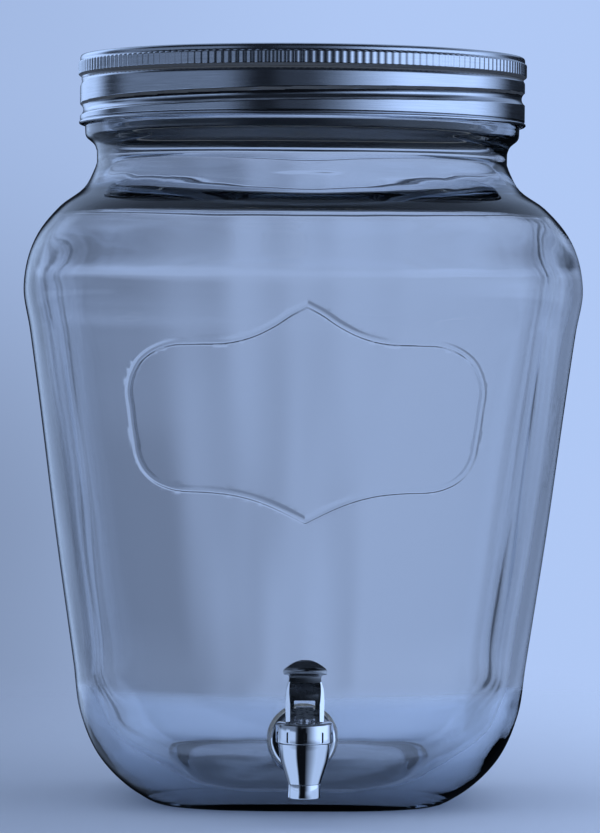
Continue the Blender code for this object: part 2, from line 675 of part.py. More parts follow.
def add_bonnet(chrome, rubber):
    ceiling = BONNET_TOP - BONNET_CEILING
    stem_hole = STEM_RADIUS + GAP
    profile = [
        (stem_hole, BONNET_TOP),
        (BONNET_RADIUS - BONNET_CHAMFER, BONNET_TOP),
        (BONNET_RADIUS, BONNET_TOP - BONNET_CHAMFER),
        (BONNET_RADIUS, BONNET_BOTTOM),
        (NECK_OF_VALVE_RADIUS + GAP, BONNET_BOTTOM),
        (NECK_OF_VALVE_RADIUS + GAP, ceiling),
        (stem_hole, ceiling),
    ]
    bonnet = turned("tap_bonnet", profile, PARTS, STEM_AXIS, closed=True)
    foot = BONNET_BOTTOM + NOTCH_FOOT
    for i in range(NOTCH_COUNT):
        notch = box(
            f"notch_{i}", (BONNET_RADIUS - NOTCH_DEPTH, -NOTCH_WIDTH / 2, foot),
            (BONNET_RADIUS + OVERRUN, NOTCH_WIDTH / 2, foot + NOTCH_HEIGHT), CUTTERS, STEM_AXIS,
        )
        notch.rotation_euler.z = 2 * pi * (i + 1 / 2) / NOTCH_COUNT
        boolean(bonnet, notch, "DIFFERENCE")
    finish(bonnet, chrome)
    seal_bottom = NECK_OF_VALVE_TOP + GAP
    seal = ring_profile(CHAMBER_RADIUS, NECK_OF_VALVE_RADIUS, seal_bottom, seal_bottom + SEAL_THICKNESS)
    finish(turned("bonnet_seal", seal, PARTS, STEM_AXIS, closed=True), rubber)


def add_stem(steel, silicone):
    """The stem with its spring collar and its head, and the cup that closes the outlet."""
    collar_top = COLLAR_BOTTOM + COLLAR_THICKNESS
    head_bottom = BONNET_TOP + GAP + OVERRUN
    profile = [
        (0, head_bottom + OVERRUN),
        (STEM_RADIUS, head_bottom + OVERRUN),
        (STEM_RADIUS, collar_top),
        (COLLAR_RADIUS, collar_top),
        (COLLAR_RADIUS, COLLAR_BOTTOM),
        (STEM_RADIUS, COLLAR_BOTTOM),
        (STEM_RADIUS, STEM_BOTTOM),
        (0, STEM_BOTTOM),
    ]
    stem = turned("valve_stem", profile, PARTS, STEM_AXIS)
    head = box(
        "stem_head", (-HEAD_WIDTH / 2, -HEAD_DEPTH / 2, head_bottom),
        (HEAD_WIDTH / 2, HEAD_DEPTH / 2, PIN_HEIGHT + HEAD_TOP_ABOVE_PIN), CUTTERS, STEM_AXIS,
    )
    boolean(stem, head, "UNION")
    hole = cylinder("pin_hole", PIN_HOLE_RADIUS, -HEAD_WIDTH, HEAD_WIDTH, LEVER_AXIS, rotation=(0, pi / 2, 0))
    boolean(stem, hole, "DIFFERENCE")
    finish(stem, steel)

    grip = STEM_RADIUS + GAP
    cup_top = CUP_BOTTOM + CUP_HEIGHT
    cup = [
        (0, CUP_BOTTOM + CUP_FLOOR),
        (grip, CUP_BOTTOM + CUP_FLOOR),
        (grip, cup_top),
        (CUP_RADIUS, cup_top),
        (CUP_RADIUS, CUP_BOTTOM + CUP_FLOOR),
        (CUP_RADIUS - CUP_FLOOR, CUP_BOTTOM),
        (0, CUP_BOTTOM),
    ]
    finish(turned("seat_cup", cup, PARTS, STEM_AXIS), silicone)


def add_spring(steel):
    bottom = COLLAR_BOTTOM + COLLAR_THICKNESS + GAP + WIRE_RADIUS
    top = BONNET_TOP - BONNET_CEILING - GAP - WIRE_RADIUS
    count = SPRING_TURNS * SPRING_POINTS_PER_TURN
    points = []
    for i in range(count + 1):
        angle = 2 * pi * i / SPRING_POINTS_PER_TURN
        height = bottom + (top - bottom) * i / count
        points.append((SPRING_RADIUS * cos(angle), SPRING_RADIUS * sin(angle), height))
    finish(tube("closing_spring", points, WIRE_RADIUS, PARTS, STEM_AXIS, resolution=1), steel)


def lever_side_outline():
    """The lever from the side as (back, up) from the pin, with the cam that lifts the stem."""
    cam = []
    for i in range(CAM_STEPS + 1):
        swing = LEVER_SWING * i / CAM_STEPS
        drop = PIN_ABOVE_FOOT + LIFT_PER_RADIAN * swing
        cam.append((
            -drop * sin(swing) - LIFT_PER_RADIAN * cos(swing),
            -drop * cos(swing) + LIFT_PER_RADIAN * sin(swing),
        ))
    upper = [(back * LEVER_REACH, up * LEVER_TOP) for back, up in LEVER_BACK_shares + LEVER_FRONT_shares]
    return [(FOOT_BACK, -PIN_ABOVE_FOOT), *upper, *reversed(cam)]


def lever_front_outline():
    """The lever from the front as (across, up) from the pin: rails, waist and flared tip."""
    right = [
        (RAIL_HALF_WIDTH, -PIN_ABOVE_FOOT - OVERRUN),
        (RAIL_HALF_WIDTH, RAIL_END_share * LEVER_TOP),
        (WAIST_HALF_WIDTH, WAIST_share * LEVER_TOP),
        (TIP_HALF_WIDTH, TIP_share * LEVER_TOP),
        (TIP_HALF_WIDTH, TIP_TOP_share * LEVER_TOP),
        (TIP_HALF_WIDTH * CROWN_share, LEVER_TOP + OVERRUN),
    ]
    return [*right, *[(-across, up) for across, up in reversed(right)]]


def add_lever(chrome, steel):
    upright = (pi / 2, 0, 0)
    sideways = (pi / 2, 0, pi / 2)
    width = 2 * TIP_HALF_WIDTH + OVERRUN
    lever = plate("tap_lever", lever_side_outline(), width, PARTS, LEVER_AXIS, sideways)
    front = plate("lever_front", lever_front_outline(), 4 * LEVER_REACH, CUTTERS, LEVER_AXIS, upright)
    boolean(lever, front, "INTERSECT")
    slot = box(
        "lever_slot", (-SLOT_HALF_WIDTH, -2 * LEVER_REACH, -PIN_ABOVE_FOOT - OVERRUN),
        (SLOT_HALF_WIDTH, 2 * LEVER_REACH, SLOT_TOP), CUTTERS, LEVER_AXIS,
    )
    boolean(lever, slot, "DIFFERENCE")
    across = (0, pi / 2, 0)
    hole = cylinder("lever_pin_hole", PIN_HOLE_RADIUS, -width / 2, width / 2, LEVER_AXIS, rotation=across)
    boolean(lever, hole, "DIFFERENCE")
    finish(lever, chrome)
    pin = turned("lever_pin", rod_profile(PIN_RADIUS, -PIN_LENGTH / 2, PIN_LENGTH / 2), PARTS, LEVER_AXIS)
    pin.rotation_euler = across
    finish(pin, steel)


def main():
    chrome = material("polished_chrome", (0.80, 0.81, 0.83), 0.06, metallic=1.0)
    steel = material("plain_steel", (0.55, 0.56, 0.58), 0.32, metallic=1.0)
    rubber = material("white_silicone", (0.80, 0.80, 0.78), 0.55)
    add_glass_jar()
    add_lid()
    add_tap_body(chrome)
    add_fastening(steel, rubber)
    add_bonnet(chrome, rubber)
    add_stem(steel, rubber)
    add_spring(steel)
    add_lever(chrome, steel)


main()
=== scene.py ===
"""Looks of a brewing jar: clear pressed glass, a satin screw lid and a chrome tap in soft studio light."""

from math import cos, hypot, pi, radians, sin

import bmesh
import bpy
import numpy as np
from mathutils import Matrix, Vector


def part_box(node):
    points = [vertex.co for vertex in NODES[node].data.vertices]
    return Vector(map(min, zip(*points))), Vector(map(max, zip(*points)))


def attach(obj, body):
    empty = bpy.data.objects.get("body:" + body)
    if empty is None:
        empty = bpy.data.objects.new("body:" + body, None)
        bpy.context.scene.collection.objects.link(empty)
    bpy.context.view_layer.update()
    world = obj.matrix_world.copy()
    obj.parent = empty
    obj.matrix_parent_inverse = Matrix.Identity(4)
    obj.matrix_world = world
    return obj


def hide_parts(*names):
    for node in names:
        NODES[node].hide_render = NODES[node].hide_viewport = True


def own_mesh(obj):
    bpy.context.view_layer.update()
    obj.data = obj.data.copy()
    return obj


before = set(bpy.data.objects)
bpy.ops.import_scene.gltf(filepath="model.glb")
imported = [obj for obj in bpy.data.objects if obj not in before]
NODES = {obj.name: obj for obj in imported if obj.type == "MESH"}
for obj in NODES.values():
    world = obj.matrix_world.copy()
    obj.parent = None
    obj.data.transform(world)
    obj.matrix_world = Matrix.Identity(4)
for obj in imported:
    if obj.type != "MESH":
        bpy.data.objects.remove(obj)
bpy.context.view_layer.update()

# Places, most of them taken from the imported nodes. All sizes are in metres
FIT_GAP, FLANGE_RADIUS = 0.0003, 0.01375
LID_LOW, LID_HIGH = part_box("lid_shell")
BONNET_LOW, BONNET_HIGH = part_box("tap_bonnet")
BODY_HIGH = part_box("tap_body")[1]
PIN_LOW, PIN_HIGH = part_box("lever_pin")
JAR_Y = (LID_LOW.y + LID_HIGH.y) / 2
VALVE_Y = (BONNET_LOW.y + BONNET_HIGH.y) / 2
LID_BOTTOM = LID_LOW.z
RIM_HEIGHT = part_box("glass_jar")[1].z
PIN_HEIGHT = (PIN_LOW.z + PIN_HIGH.z) / 2
TAP_HEIGHT = BODY_HIGH.z - FLANGE_RADIUS
BOSS_FACE = JAR_Y - (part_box("outer_washer")[1].y + FIT_GAP)
SEAT_FACE = JAR_Y - (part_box("inner_washer")[0].y - FIT_GAP)
FLANGE_BACK = JAR_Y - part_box("outer_washer")[0].y + FIT_GAP
OUTWARD, QUARTER_TURN = Matrix.Rotation(pi / 2, 4, "X"), Matrix.Rotation(pi / 2, 4, "Z")
JAR_PLACE, VALVE_PLACE = Matrix.Translation((0, JAR_Y, 0)), Matrix.Translation((0, VALVE_Y, 0))
SHANK_PLACE = Matrix.Translation((0, JAR_Y, TAP_HEIGHT)) @ OUTWARD
LEVER_PLACE = Matrix.Translation((0, VALVE_Y, PIN_HEIGHT))

# Glass body: half widths, heights and squareness of its sections
HALF_WIDTH, WIDEST_HEIGHT, BODY_HEIGHT, FOOT_HALF_WIDTH = 0.122, 0.2257, 0.281, 0.0655
NECK_RADIUS, FINISH_RADIUS, MOUTH_RADIUS, GLASS_WALL, GLASS_FLOOR = 0.0911, 0.0956, 0.0905, 0.0045, 0.009
BODY_START, INNER_SIDE_TOP, BASE_POWER, NECK_POWER = 0.0013, WIDEST_HEIGHT - 0.0015, 3.0, 2.0
SIDE_SHARES = [
    (0, 0, 3.0), (0.032, 0.19, 3.1), (0.089, 0.40, 3.3), (0.178, 0.55, 3.5), (0.27, 0.60, 3.7),
    (0.527, 0.745, 4.0), (0.823, 0.897, 4.2), (0.92, 0.951, 4.2), (1, 1, 4.2),
]
SHOULDER_SHARES = [(0.40, 0.165, 3.8), (0.645, 0.485, 3.1), (0.82, 0.845, 2.3), (1, 1, 2.0)]
INNER_SHOULDER = [
    (0.1175, 0.2262, 4.2), (0.1171, 0.2312, 4.2), (0.1151, 0.2395, 4.0), (0.1110, 0.2500, 3.7),
    (0.1068, 0.2570, 3.4), (0.0990, 0.2606, 2.8), (0.0925, 0.2640, 2.35), (0.0885, 0.2695, 2.1),
    (0.0868, 0.2760, 2.0), (0.0866, 0.2830, 2.0),
]

# Outlines (radius, height) with the rounding of each corner, the first and last left as they are
BASE_OUTLINE = [(0, 0.0036), (0.0515, 0.0032), (0.0560, 0.0), (0.0650, 0.0), (0.0668, 0.0011)]
BASE_ROUNDING = [0, 0.004, 0.003, 0.0016, 0]
NECK_OUTLINE = [
    (NECK_RADIUS, 0.2890), (0.0963, 0.2930), (0.0965, 0.2983), (FINISH_RADIUS, 0.2992),
    (FINISH_RADIUS, RIM_HEIGHT), (MOUTH_RADIUS, RIM_HEIGHT), (MOUTH_RADIUS, 0.3070),
    (NECK_RADIUS - GLASS_WALL, 0.3015), (NECK_RADIUS - GLASS_WALL, 0.2850),
]
NECK_ROUNDING = [0, 0.004, 0.0016, 0.001, 0.001, 0.0018, 0.0018, 0.004, 0.003, 0]
FLOOR_OUTLINE, FLOOR_ROUNDING = [(0.054, 0.0086), (0, 0.0098)], [0, 0.006, 0]

# Rows and columns of the glass, finer at the foot, at the front and where the thread is
FRONT_ANGLE, FRONT_COLUMNS, OTHER_COLUMNS = radians(37), 105, 149
FOOT_TOP, FLAT_RADIUS, FRAME_BOTTOM, FRAME_TOP = 0.004, 0.048, 0.120, 0.226
BEAD_BOTTOM, LIP_BOTTOM, OUTSIDE_RADIUS, THREAD_BOTTOM, THREAD_INSIDE = 0.2885, 0.3265, 0.092, 0.2984, 0.094

# Unevenness of the inside: share, turns, rise and lead of each wave, and zones where the waves fade
WAVES = ((0.45, 7, 30, 0), (0.35, 17, -22, 1), (0.30, 29, 14, 2), (0.5, 3, 90, 0))
WAVE_SIZE, CALM_AT_TAP, CALM_AT_FLOOR, CALM_AT_NECK = 0.00018, (0.018, 0.034), (0.02, 0.05), (0.262, 0.282)

# Seat of the tap: its rings, the soft edges of its faces, and how far its rim stays inside the glass
BOSS_RINGS = [0.004, 0.008, 0.011, 0.0132, *np.linspace(0.0139, 0.0160, 12)]
FRONT_EDGE, BACK_EDGE, BOSS_STEPS = (0.0140, 0.0156), (0.0148, 0.0158), 96
FRONT_SUNK, BACK_SUNK, BACK_OVERLAP = 0.0010, 0.0025, 0.0002
POCKET_RADIUS, POCKET_START, HOLE_RADIUS, HOLE_PAST = 0.0150, 0.060, 0.0085, 0.002

# Frame line round the bare label
FRAME_HEIGHT, FRAME_HALF_WIDTH, FRAME_HALF_HEIGHT = 0.1727, 0.0744, 0.0455
FRAME_MARGIN, FRAME_NEAR, FRAME_PROUD, FRAME_EDGE, FRONT_Y = 0.006, 0.0030, 0.00055, (0.0006, 0.0017), -0.09
FRAME_SHARES = [
    (0, 1), (0.083, 0.93), (0.196, 0.81), (0.31, 0.72), (0.42, 0.67), (0.65, 0.65), (0.76, 0.64),
    (0.845, 0.595), (0.93, 0.50), (0.98, 0.365), (1, 0.23), (0.987, 0.02), (0.964, -0.25),
    (0.943, -0.42), (0.90, -0.55), (0.845, -0.63), (0.76, -0.69), (0.535, -0.72), (0.42, -0.74),
    (0.31, -0.78), (0.196, -0.845), (0.083, -0.93), (0, -1),
]

# Screw thread: its line, with the height at the left, and the three shapes that follow it
THREAD_PITCH, THREAD_LEFT, RUN_OUT = 0.0125, 0.0063, radians(30)
GLASS_BEAD = {
    "start": radians(112.5), "end": radians(502.5), "lift": 0.0048,
    "depth": 0.0976 - FINISH_RADIUS, "size": 0.0026, "soft": 0.0002,
}
LID_GROOVE = {
    "start": radians(120), "end": radians(560), "lift": 0.0,
    "depth": 0.0017, "size": 0.0031, "soft": 0.0007,
}
LID_RIDGE = {**LID_GROOVE, "depth": 0.0019, "size": 0.0040, "soft": 0.00035}

# Lid, with heights above its lower edge
LID_RADIUS, LID_HEIGHT, LID_SHEET = 0.0988, 0.0305, 0.0006
SIDE_TOP, SIDE_ROW, SIDE_ROWS, INSIDE_ROWS = 0.0278, 0.0003, 91, (0.0012, 0.0272, 0.0009)
PANEL_HEIGHT, PANEL_RADIUS, FLAT_PANEL, FEW_ON_TOP, FEW_INSIDE = 0.0290, 0.0858, 0.083, 0.0855, 0.0862
KNURLS, KNURL_DEPTH, BAND_PROUD = 190, 0.0005, 0.0003
BAND_BOTTOM, BAND_TOP = (0.0213, 0.0222), (0.0272, 0.0282)
PINCH_DEPTH, PINCH_HEIGHT, PINCH_WIDTH = 0.0007, 0.0205, 0.0008
HEM_PROUD, HEM_EDGE, HEM_LINE_WIDTH = 0.0004, (0.0012, 0.0017), 0.00035

# Tap: shank, barrel, bonnet, lever and closing spring
SHANK_RADIUS, SHANK_STEPS, SHANK_PITCH, SHANK_ROW, SHANK_OVERLAP = 0.00775, 72, 0.0015, 0.00025, 0.0002
SHANK_CUT, SHANK_TIP_CUT, SHANK_TIP, SHANK_PLAIN, SHANK_HOLE = 0.00045, 0.0006, 0.0008, 0.0006, 0.00805
FLANGE_THICKNESS, BARREL_START, BARREL_END, BARREL_DROP, BORE_RADIUS = 0.0025, 0.0072, 0.0055, 0.0077, 0.0033
BONNET_RADIUS, NOTCHES, NOTCH_HALF, NOTCH_DEPTH = 0.012, 10, 0.0008, 0.0006
SWING, CAM_DROP, CAM_RISE, CAM_HALF, CAM_STEPS = radians(50), 0.0034, 0.0036, 0.0036, 12
LEVER_HALF, HOLLOW_HALF, PIN_HOLE, BEYOND = 0.0096, 0.0062, 0.0016, 0.02
SPRING_TURNS, SPRING_RADIUS, SPRING_WIRE, STEM_TRAVEL = 5, 0.0045, 0.0005, 0.00314


def smoothstep(low, high, value):
    t = np.clip((value - low) / (high - low), 0, 1)
    return t * t * (3 - 2 * t)


def smooth_curve(knots, steps):
    """Points of a smooth curve through the knots, paced by the first two coordinates."""
    points = [np.array(knot, float) for knot in knots]
    spans = [hypot(*(b - a)[:2]) for a, b in zip(points, points[1:])]
    slopes = [(b - a) / span for a, b, span in zip(points, points[1:], spans)]
    inner = [
        (slopes[i] * spans[i + 1] + slopes[i + 1] * spans[i]) / (spans[i] + spans[i + 1])
        for i in range(len(slopes) - 1)
    ]
    tangents = [slopes[0], *inner, slopes[-1]]
    curve = []
    for i, span in enumerate(spans):
        for step in range(steps):
            t = step / steps
            from_start = (1 + 2 * t) * (1 - t) ** 2 * points[i] + t * (1 - t) ** 2 * span * tangents[i]
            from_end = t * t * (3 - 2 * t) * points[i + 1] - t * t * (1 - t) * span * tangents[i + 1]
            curve.append(from_start + from_end)
    return np.array([*curve, points[-1]])


def rounded(points, radii, parts=5, closed=False):
    """The outline with each corner rounded off by its own radius, or by one for all."""
    count = len(points)
    radii = [radii] * count if isinstance(radii, float) else radii
    made = []
    for i, point in enumerate(points):
        here = np.array(point, float)
        if not closed and i in (0, count - 1):
            made.append(here)
            continue
        before = np.array(points[i - 1], float) - here
        after = np.array(points[(i + 1) % count], float) - here
        length_before, length_after = np.linalg.norm(before), np.linalg.norm(after)
        reach = min(radii[i], length_before * 0.48, length_after * 0.48)
        if reach < 1e-7:
            made.append(here)
            continue
        start, end = here + before / length_before * reach, here + after / length_after * reach
        for step in range(parts + 1):
            t = step / parts
            made.append((1 - t) ** 2 * start + 2 * t * (1 - t) * here + t * t * end)
    return np.array(made)


def resampled(path, spacing):
    """The path with points as far apart as spacing(point) says at each place."""
    steps = np.hypot(np.diff(path[:, 0]), np.diff(path[:, 1]))
    keep = np.concatenate([[True], steps > 1e-7])
    path, steps = path[keep], steps[keep[1:]]
    middle = (path[1:] + path[:-1]) / 2
    cost = np.concatenate([[0], np.cumsum(steps / np.array([spacing(p) for p in middle]))])
    wanted = np.linspace(0, cost[-1], max(2, round(cost[-1])) + 1)
    return np.stack([np.interp(wanted, cost, path[:, k]) for k in range(path.shape[1])], axis=1)


def add_object(name, mesh):
    obj = bpy.data.objects.new(name, mesh)
    bpy.context.scene.collection.objects.link(obj)
    return obj


def level_ring(reach, count, height):
    """Points round Z. The reach and the height are one number each, or one for every point."""
    angles = np.arange(count) * 2 * pi / count
    return np.stack([reach * np.cos(angles), reach * np.sin(angles), 0 * angles + height], 1)


def centre(height):
    return np.array([[0, 0, height]])


def sweep(name, rings, closed=False):
    """A solid through rings of points. A ring may have one point, or half or twice as many as the next."""
    starts, points = [], []
    for ring in rings:
        starts.append(len(points))
        points.extend(map(tuple, ring))
    faces = []
    pairs = list(zip(range(len(rings)), range(1, len(rings))))
    if closed:
        pairs.append((len(rings) - 1, 0))
    for low, high in pairs:
        a, b, n, m = starts[low], starts[high], len(rings[low]), len(rings[high])
        for i in range(max(n, m)):
            j = (i + 1) % max(n, m)
            if n == 1:
                faces.append((a, b + j, b + i))
            elif m == 1:
                faces.append((a + i, a + j, b))
            elif n == m:
                faces.append((a + i, a + j, b + j, b + i))
            elif n < m and i % 2 == 0:
                k, after, last = a + i // 2, a + (i // 2 + 1) % n, b + (i + 2) % m
                faces += [(k, b + i + 1, b + i), (k, after, b + i + 1), (after, last, b + i + 1)]
            elif n > m and i % 2 == 0:
                k, after, last = b + i // 2, b + (i // 2 + 1) % m, a + (i + 2) % n
                faces += [(a + i, a + i + 1, k), (a + i + 1, after, k), (a + i + 1, last, after)]
    mesh = bpy.data.meshes.new(name)
    mesh.from_pydata(points, [], faces)
    mesh.update()
    return add_object(name, mesh)


def turned(name, profile, steps, place=Matrix.Identity(4), closed=False):
    """A profile of (radius, height) turned about its own Z and put in place. It runs up the outer side."""
    rings = [
        centre(height) if radius < 1e-7 else level_ring(radius, steps, height) for radius, height in profile
    ]
    obj = sweep(name, rings, closed)
    obj.data.transform(place)
    return obj


def prism(name, outline, low, high, place):
    """A flat outline (x, y), pushed from low to high along Z and put in place."""
    mesh = bpy.data.meshes.new(name)
    n = len(outline)
    points = [(x, y, low) for x, y in outline] + [(x, y, high) for x, y in outline]
    sides = [(i, (i + 1) % n, n + (i + 1) % n, n + i) for i in range(n)]
    mesh.from_pydata(points, [], [tuple(reversed(range(n))), tuple(range(n, 2 * n)), *sides])
    shape = bmesh.new()
    shape.from_mesh(mesh)
    bmesh.ops.recalc_face_normals(shape, faces=shape.faces)
    shape.to_mesh(mesh)
    shape.free()
    obj = add_object(name, mesh)
    obj.data.transform(place)
    return obj


def tube(name, points, radii, steps):
    """A round tube along the points, closed at both ends."""
    points = [Vector(p) for p in points]
    angles = [2 * pi * k / steps for k in range(steps)]
    side = None
    rings = [np.array([points[0]])]
    for i, point in enumerate(points):
        along = (points[min(i + 1, len(points) - 1)] - points[max(i - 1, 0)]).normalized()
        side = along.orthogonal() if side is None else side - along * side.dot(along)
        side.normalize()
        up = along.cross(side)
        rings.append(np.array([point + radii[i] * (cos(a) * side + sin(a) * up) for a in angles]))
    return sweep(name, [*rings, np.array([points[-1]])])


def combine(obj, other, operation):
    """Adds, cuts or keeps what is shared, and removes the other object."""
    modifier = obj.modifiers.new("combine", "BOOLEAN")
    modifier.operation, modifier.solver, modifier.object = operation, "EXACT", other
    graph = bpy.context.evaluated_depsgraph_get()
    mesh = bpy.data.meshes.new_from_object(obj.evaluated_get(graph))
    obj.modifiers.clear()
    obj.data = mesh
    bpy.data.objects.remove(other)


def cut(obj, other):
    combine(obj, other, "DIFFERENCE")


def round_edges(obj, width, segments, sharp):
    edge = obj.modifiers.new("rounded_edges", "BEVEL")
    edge.width, edge.segments, edge.limit_method, edge.angle_limit = width, segments, "ANGLE", radians(sharp)
    return edge


def dress(obj, made, sharp=35, bevel=0.0, segments=3):
    """Gives a piece its material, smooth faces and, if wanted, small rounded edges."""
    obj.data.materials.clear()
    obj.data.materials.append(made)
    obj.data.shade_smooth()
    obj.data.set_sharp_from_angle(angle=radians(sharp))
    if bevel:
        round_edges(obj, bevel, segments, sharp).harden_normals = True


def stand_for(obj, node, body):
    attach(obj, body)
    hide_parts(node)


# Materials


class Graph:
    """A node tree with the few kinds of node that the looks and the studio need."""

    def __init__(self, tree):
        self.tree = tree

    def feed(self, target, value):
        """Links a socket to the target, or sets the target to a number or a colour."""
        if isinstance(value, bpy.types.NodeSocket):
            self.tree.links.new(value, target)
        else:
            target.default_value = value

    def add(self, kind, inputs=(), **settings):
        """A new node. Its inputs are values or sockets, in order or by name."""
        node = self.tree.nodes.new(kind)
        for name, value in settings.items():
            setattr(node, name, value)
        for key, value in inputs.items() if isinstance(inputs, dict) else enumerate(inputs):
            self.feed(node.inputs[key], value)
        return node

    def maths(self, kind, *values):
        return self.add("ShaderNodeMath", values, operation=kind).outputs[0]

    def times(self, first, second):
        return self.maths("MULTIPLY", first, second)

    def rest(self, value):
        """What the value leaves of 1."""
        return self.maths("SUBTRACT", 1.0, value)

    def range(self, source, low, high, start=0.3, end=0.7, kind="LINEAR"):
        """From low to high while the source goes from start to end."""
        inputs = {"Value": source, "From Min": start, "From Max": end, "To Min": low, "To Max": high}
        return self.add("ShaderNodeMapRange", inputs, interpolation_type=kind).outputs["Result"]

    def ramp(self, source, start, end):
        """0 before start, 1 after end, smooth between."""
        return self.range(source, 0.0, 1.0, start, end, "SMOOTHSTEP")

    def parts(self, vector):
        return self.add("ShaderNodeSeparateXYZ", (vector,)).outputs

    def scaled(self, colour, factor):
        inputs = {0: colour, "Scale": factor}
        return self.add("ShaderNodeVectorMath", inputs, operation="SCALE").outputs["Vector"]

    def shining(self, colour, strength, kind="Emission"):
        return self.add(f"ShaderNode{kind}", ((*colour, 1), strength)).outputs[0]

    def mix(self, factor, first, second):
        return self.add("ShaderNodeMixShader", (factor, first, second)).outputs[0]


class Look(Graph):
    """A material of one principled shader, in the piece's own coordinates."""

    def __init__(self, name):
        self.material = bpy.data.materials.new(name)
        self.material.use_nodes = True
        super().__init__(self.material.node_tree)
        self.shader = self.tree.nodes["Principled BSDF"]
        self.output = self.tree.nodes["Material Output"].inputs
        self.place = self.add("ShaderNodeTexCoord").outputs["Object"]

    def set(self, **values):
        """Feeds inputs of the shader, with a low line for each space in their names."""
        for name, value in values.items():
            self.feed(self.shader.inputs[name.replace("_", " ")], value)

    def noise(self, scale, detail=2.0, stretch=(1, 1, 1)):
        """Noise of so many waves a metre."""
        place = self.add("ShaderNodeMapping", {"Vector": self.place, "Scale": stretch}).outputs["Vector"]
        inputs = {"Vector": place, "Scale": scale, "Detail": detail}
        return self.add("ShaderNodeTexNoise", inputs).outputs["Fac"]

    def colours(self, source, first, second):
        node = self.add("ShaderNodeValToRGB", (source,))
        for element, colour, position in zip(node.color_ramp.elements, (first, second), (0.3, 0.7)):
            element.color = (*colour, 1)
            element.position = position
        return node.outputs["Color"]

    def bump(self, source, height):
        inputs = {"Strength": 1.0, "Distance": height, "Height": source}
        self.set(Normal=self.add("ShaderNodeBump", inputs).outputs["Normal"])


def glass_look():
    look = Look("clear_pressed_glass")
    look.set(Base_Color=(0.975, 0.985, 1.0, 1), Roughness=0.0, IOR=1.5, Transmission_Weight=1.0)
    look.bump(look.noise(28, detail=1.0, stretch=(1, 1, 0.35)), height=0.00035)
    depth = look.add("ShaderNodeVolumeAbsorption", {"Color": (0.45, 0.62, 0.80, 1), "Density": 26.0})
    look.feed(look.output["Volume"], depth.outputs["Volume"])
    return look.material


def lid_look():
    look = Look("satin_tinplate")
    drawn = look.noise(60, detail=3.0, stretch=(1, 1, 30))
    fine = look.noise(900, stretch=(1, 1, 4))
    look.set(Metallic=1.0, Base_Color=look.colours(drawn, (0.58, 0.60, 0.64), (0.66, 0.68, 0.72)))
    look.set(Roughness=look.range(drawn, 0.15, 0.20))
    look.bump(fine, height=0.000012)
    return look.material


def chrome_look(name="polished_chrome", dullest=0.09):
    look = Look(name)
    cast = look.noise(160)
    look.set(Metallic=1.0, Base_Color=(0.80, 0.81, 0.83, 1))
    look.set(Roughness=look.range(look.noise(700, detail=3.0), dullest - 0.06, dullest))
    look.bump(cast, height=0.00002)
    return look.material


def steel_look():
    look = Look("plain_steel")
    grain = look.noise(500, detail=3.0, stretch=(1, 1, 5))
    look.set(Metallic=1.0, Base_Color=look.colours(grain, (0.50, 0.51, 0.53), (0.60, 0.61, 0.63)))
    look.set(Roughness=look.range(grain, 0.22, 0.40))
    look.bump(look.noise(1500), height=0.00001)
    return look.material


def soft_look(name, colour, roughness):
    look = Look(name)
    grain = look.noise(350, detail=4.0)
    darker = tuple(0.93 * c for c in colour)
    look.set(Base_Color=look.colours(grain, darker, colour))
    look.set(Roughness=look.range(grain, roughness - 0.06, roughness + 0.08))
    look.bump(look.noise(2200), height=0.00003)
    return look.material


# Glass jar


def rounded_square(rows, angles):
    """Points (row, angle, xyz) of the sections (half width, height, squareness) about the jar's axis."""
    width, height, power = (rows[:, k][:, None] for k in range(3))
    c, s = np.cos(angles)[None], np.sin(angles)[None]
    reach = width * (np.abs(c) ** power + np.abs(s) ** power) ** (-1 / power)
    return np.stack([reach * c, reach * s, np.broadcast_to(height, reach.shape)], axis=2)


def body_curve():
    """Sections of the outer side from the foot over the shoulder to the neck."""
    gain, loss, rise = HALF_WIDTH - FOOT_HALF_WIDTH, HALF_WIDTH - NECK_RADIUS, BODY_HEIGHT - WIDEST_HEIGHT
    side = [(FOOT_HALF_WIDTH + out * gain, up * WIDEST_HEIGHT, power) for up, out, power in SIDE_SHARES]
    shoulder = [
        (HALF_WIDTH - off * loss, WIDEST_HEIGHT + up * rise, power) for up, off, power in SHOULDER_SHARES
    ]
    return smooth_curve(side + shoulder, 16)


def rounded_rows(outline, radii, power):
    """Sections along a rounded outline, all of one squareness."""
    path = rounded(outline, radii, 6)
    return np.column_stack([path, np.full(len(path), power)])


def thread_relief(angles, heights, start, end, lift, depth, size, soft):
    """How far a round bead or groove of this size stands out or in, at heights above the lid's lower edge."""
    relief = np.zeros(np.broadcast(angles, heights).shape)
    for turn in (0, 1):
        unwound = angles + 2 * pi * turn
        to_end = np.minimum(unwound - start, end - unwound)
        here = depth * (1 - np.clip(1 - to_end / RUN_OUT, 0, 1))
        off = heights - (THREAD_LEFT + THREAD_PITCH * (unwound - pi) / (2 * pi) + lift)
        arc = here - size + np.sqrt(np.maximum(size ** 2 - off ** 2, 0))
        arc = np.where((to_end > 0) & (np.abs(off) < size), arc, -size)
        relief = np.maximum(relief, (arc + np.sqrt(arc ** 2 + soft ** 2)) / 2 - soft / 2)
    return relief


def frame_line():
    """Points (x, height) of the closed line round the bare label."""
    right = smooth_curve(FRAME_SHARES, 6) * (FRAME_HALF_WIDTH, FRAME_HALF_HEIGHT) + (0, FRAME_HEIGHT)
    left = right[-2:0:-1] * (-1, 1)
    return np.vstack([right, left])


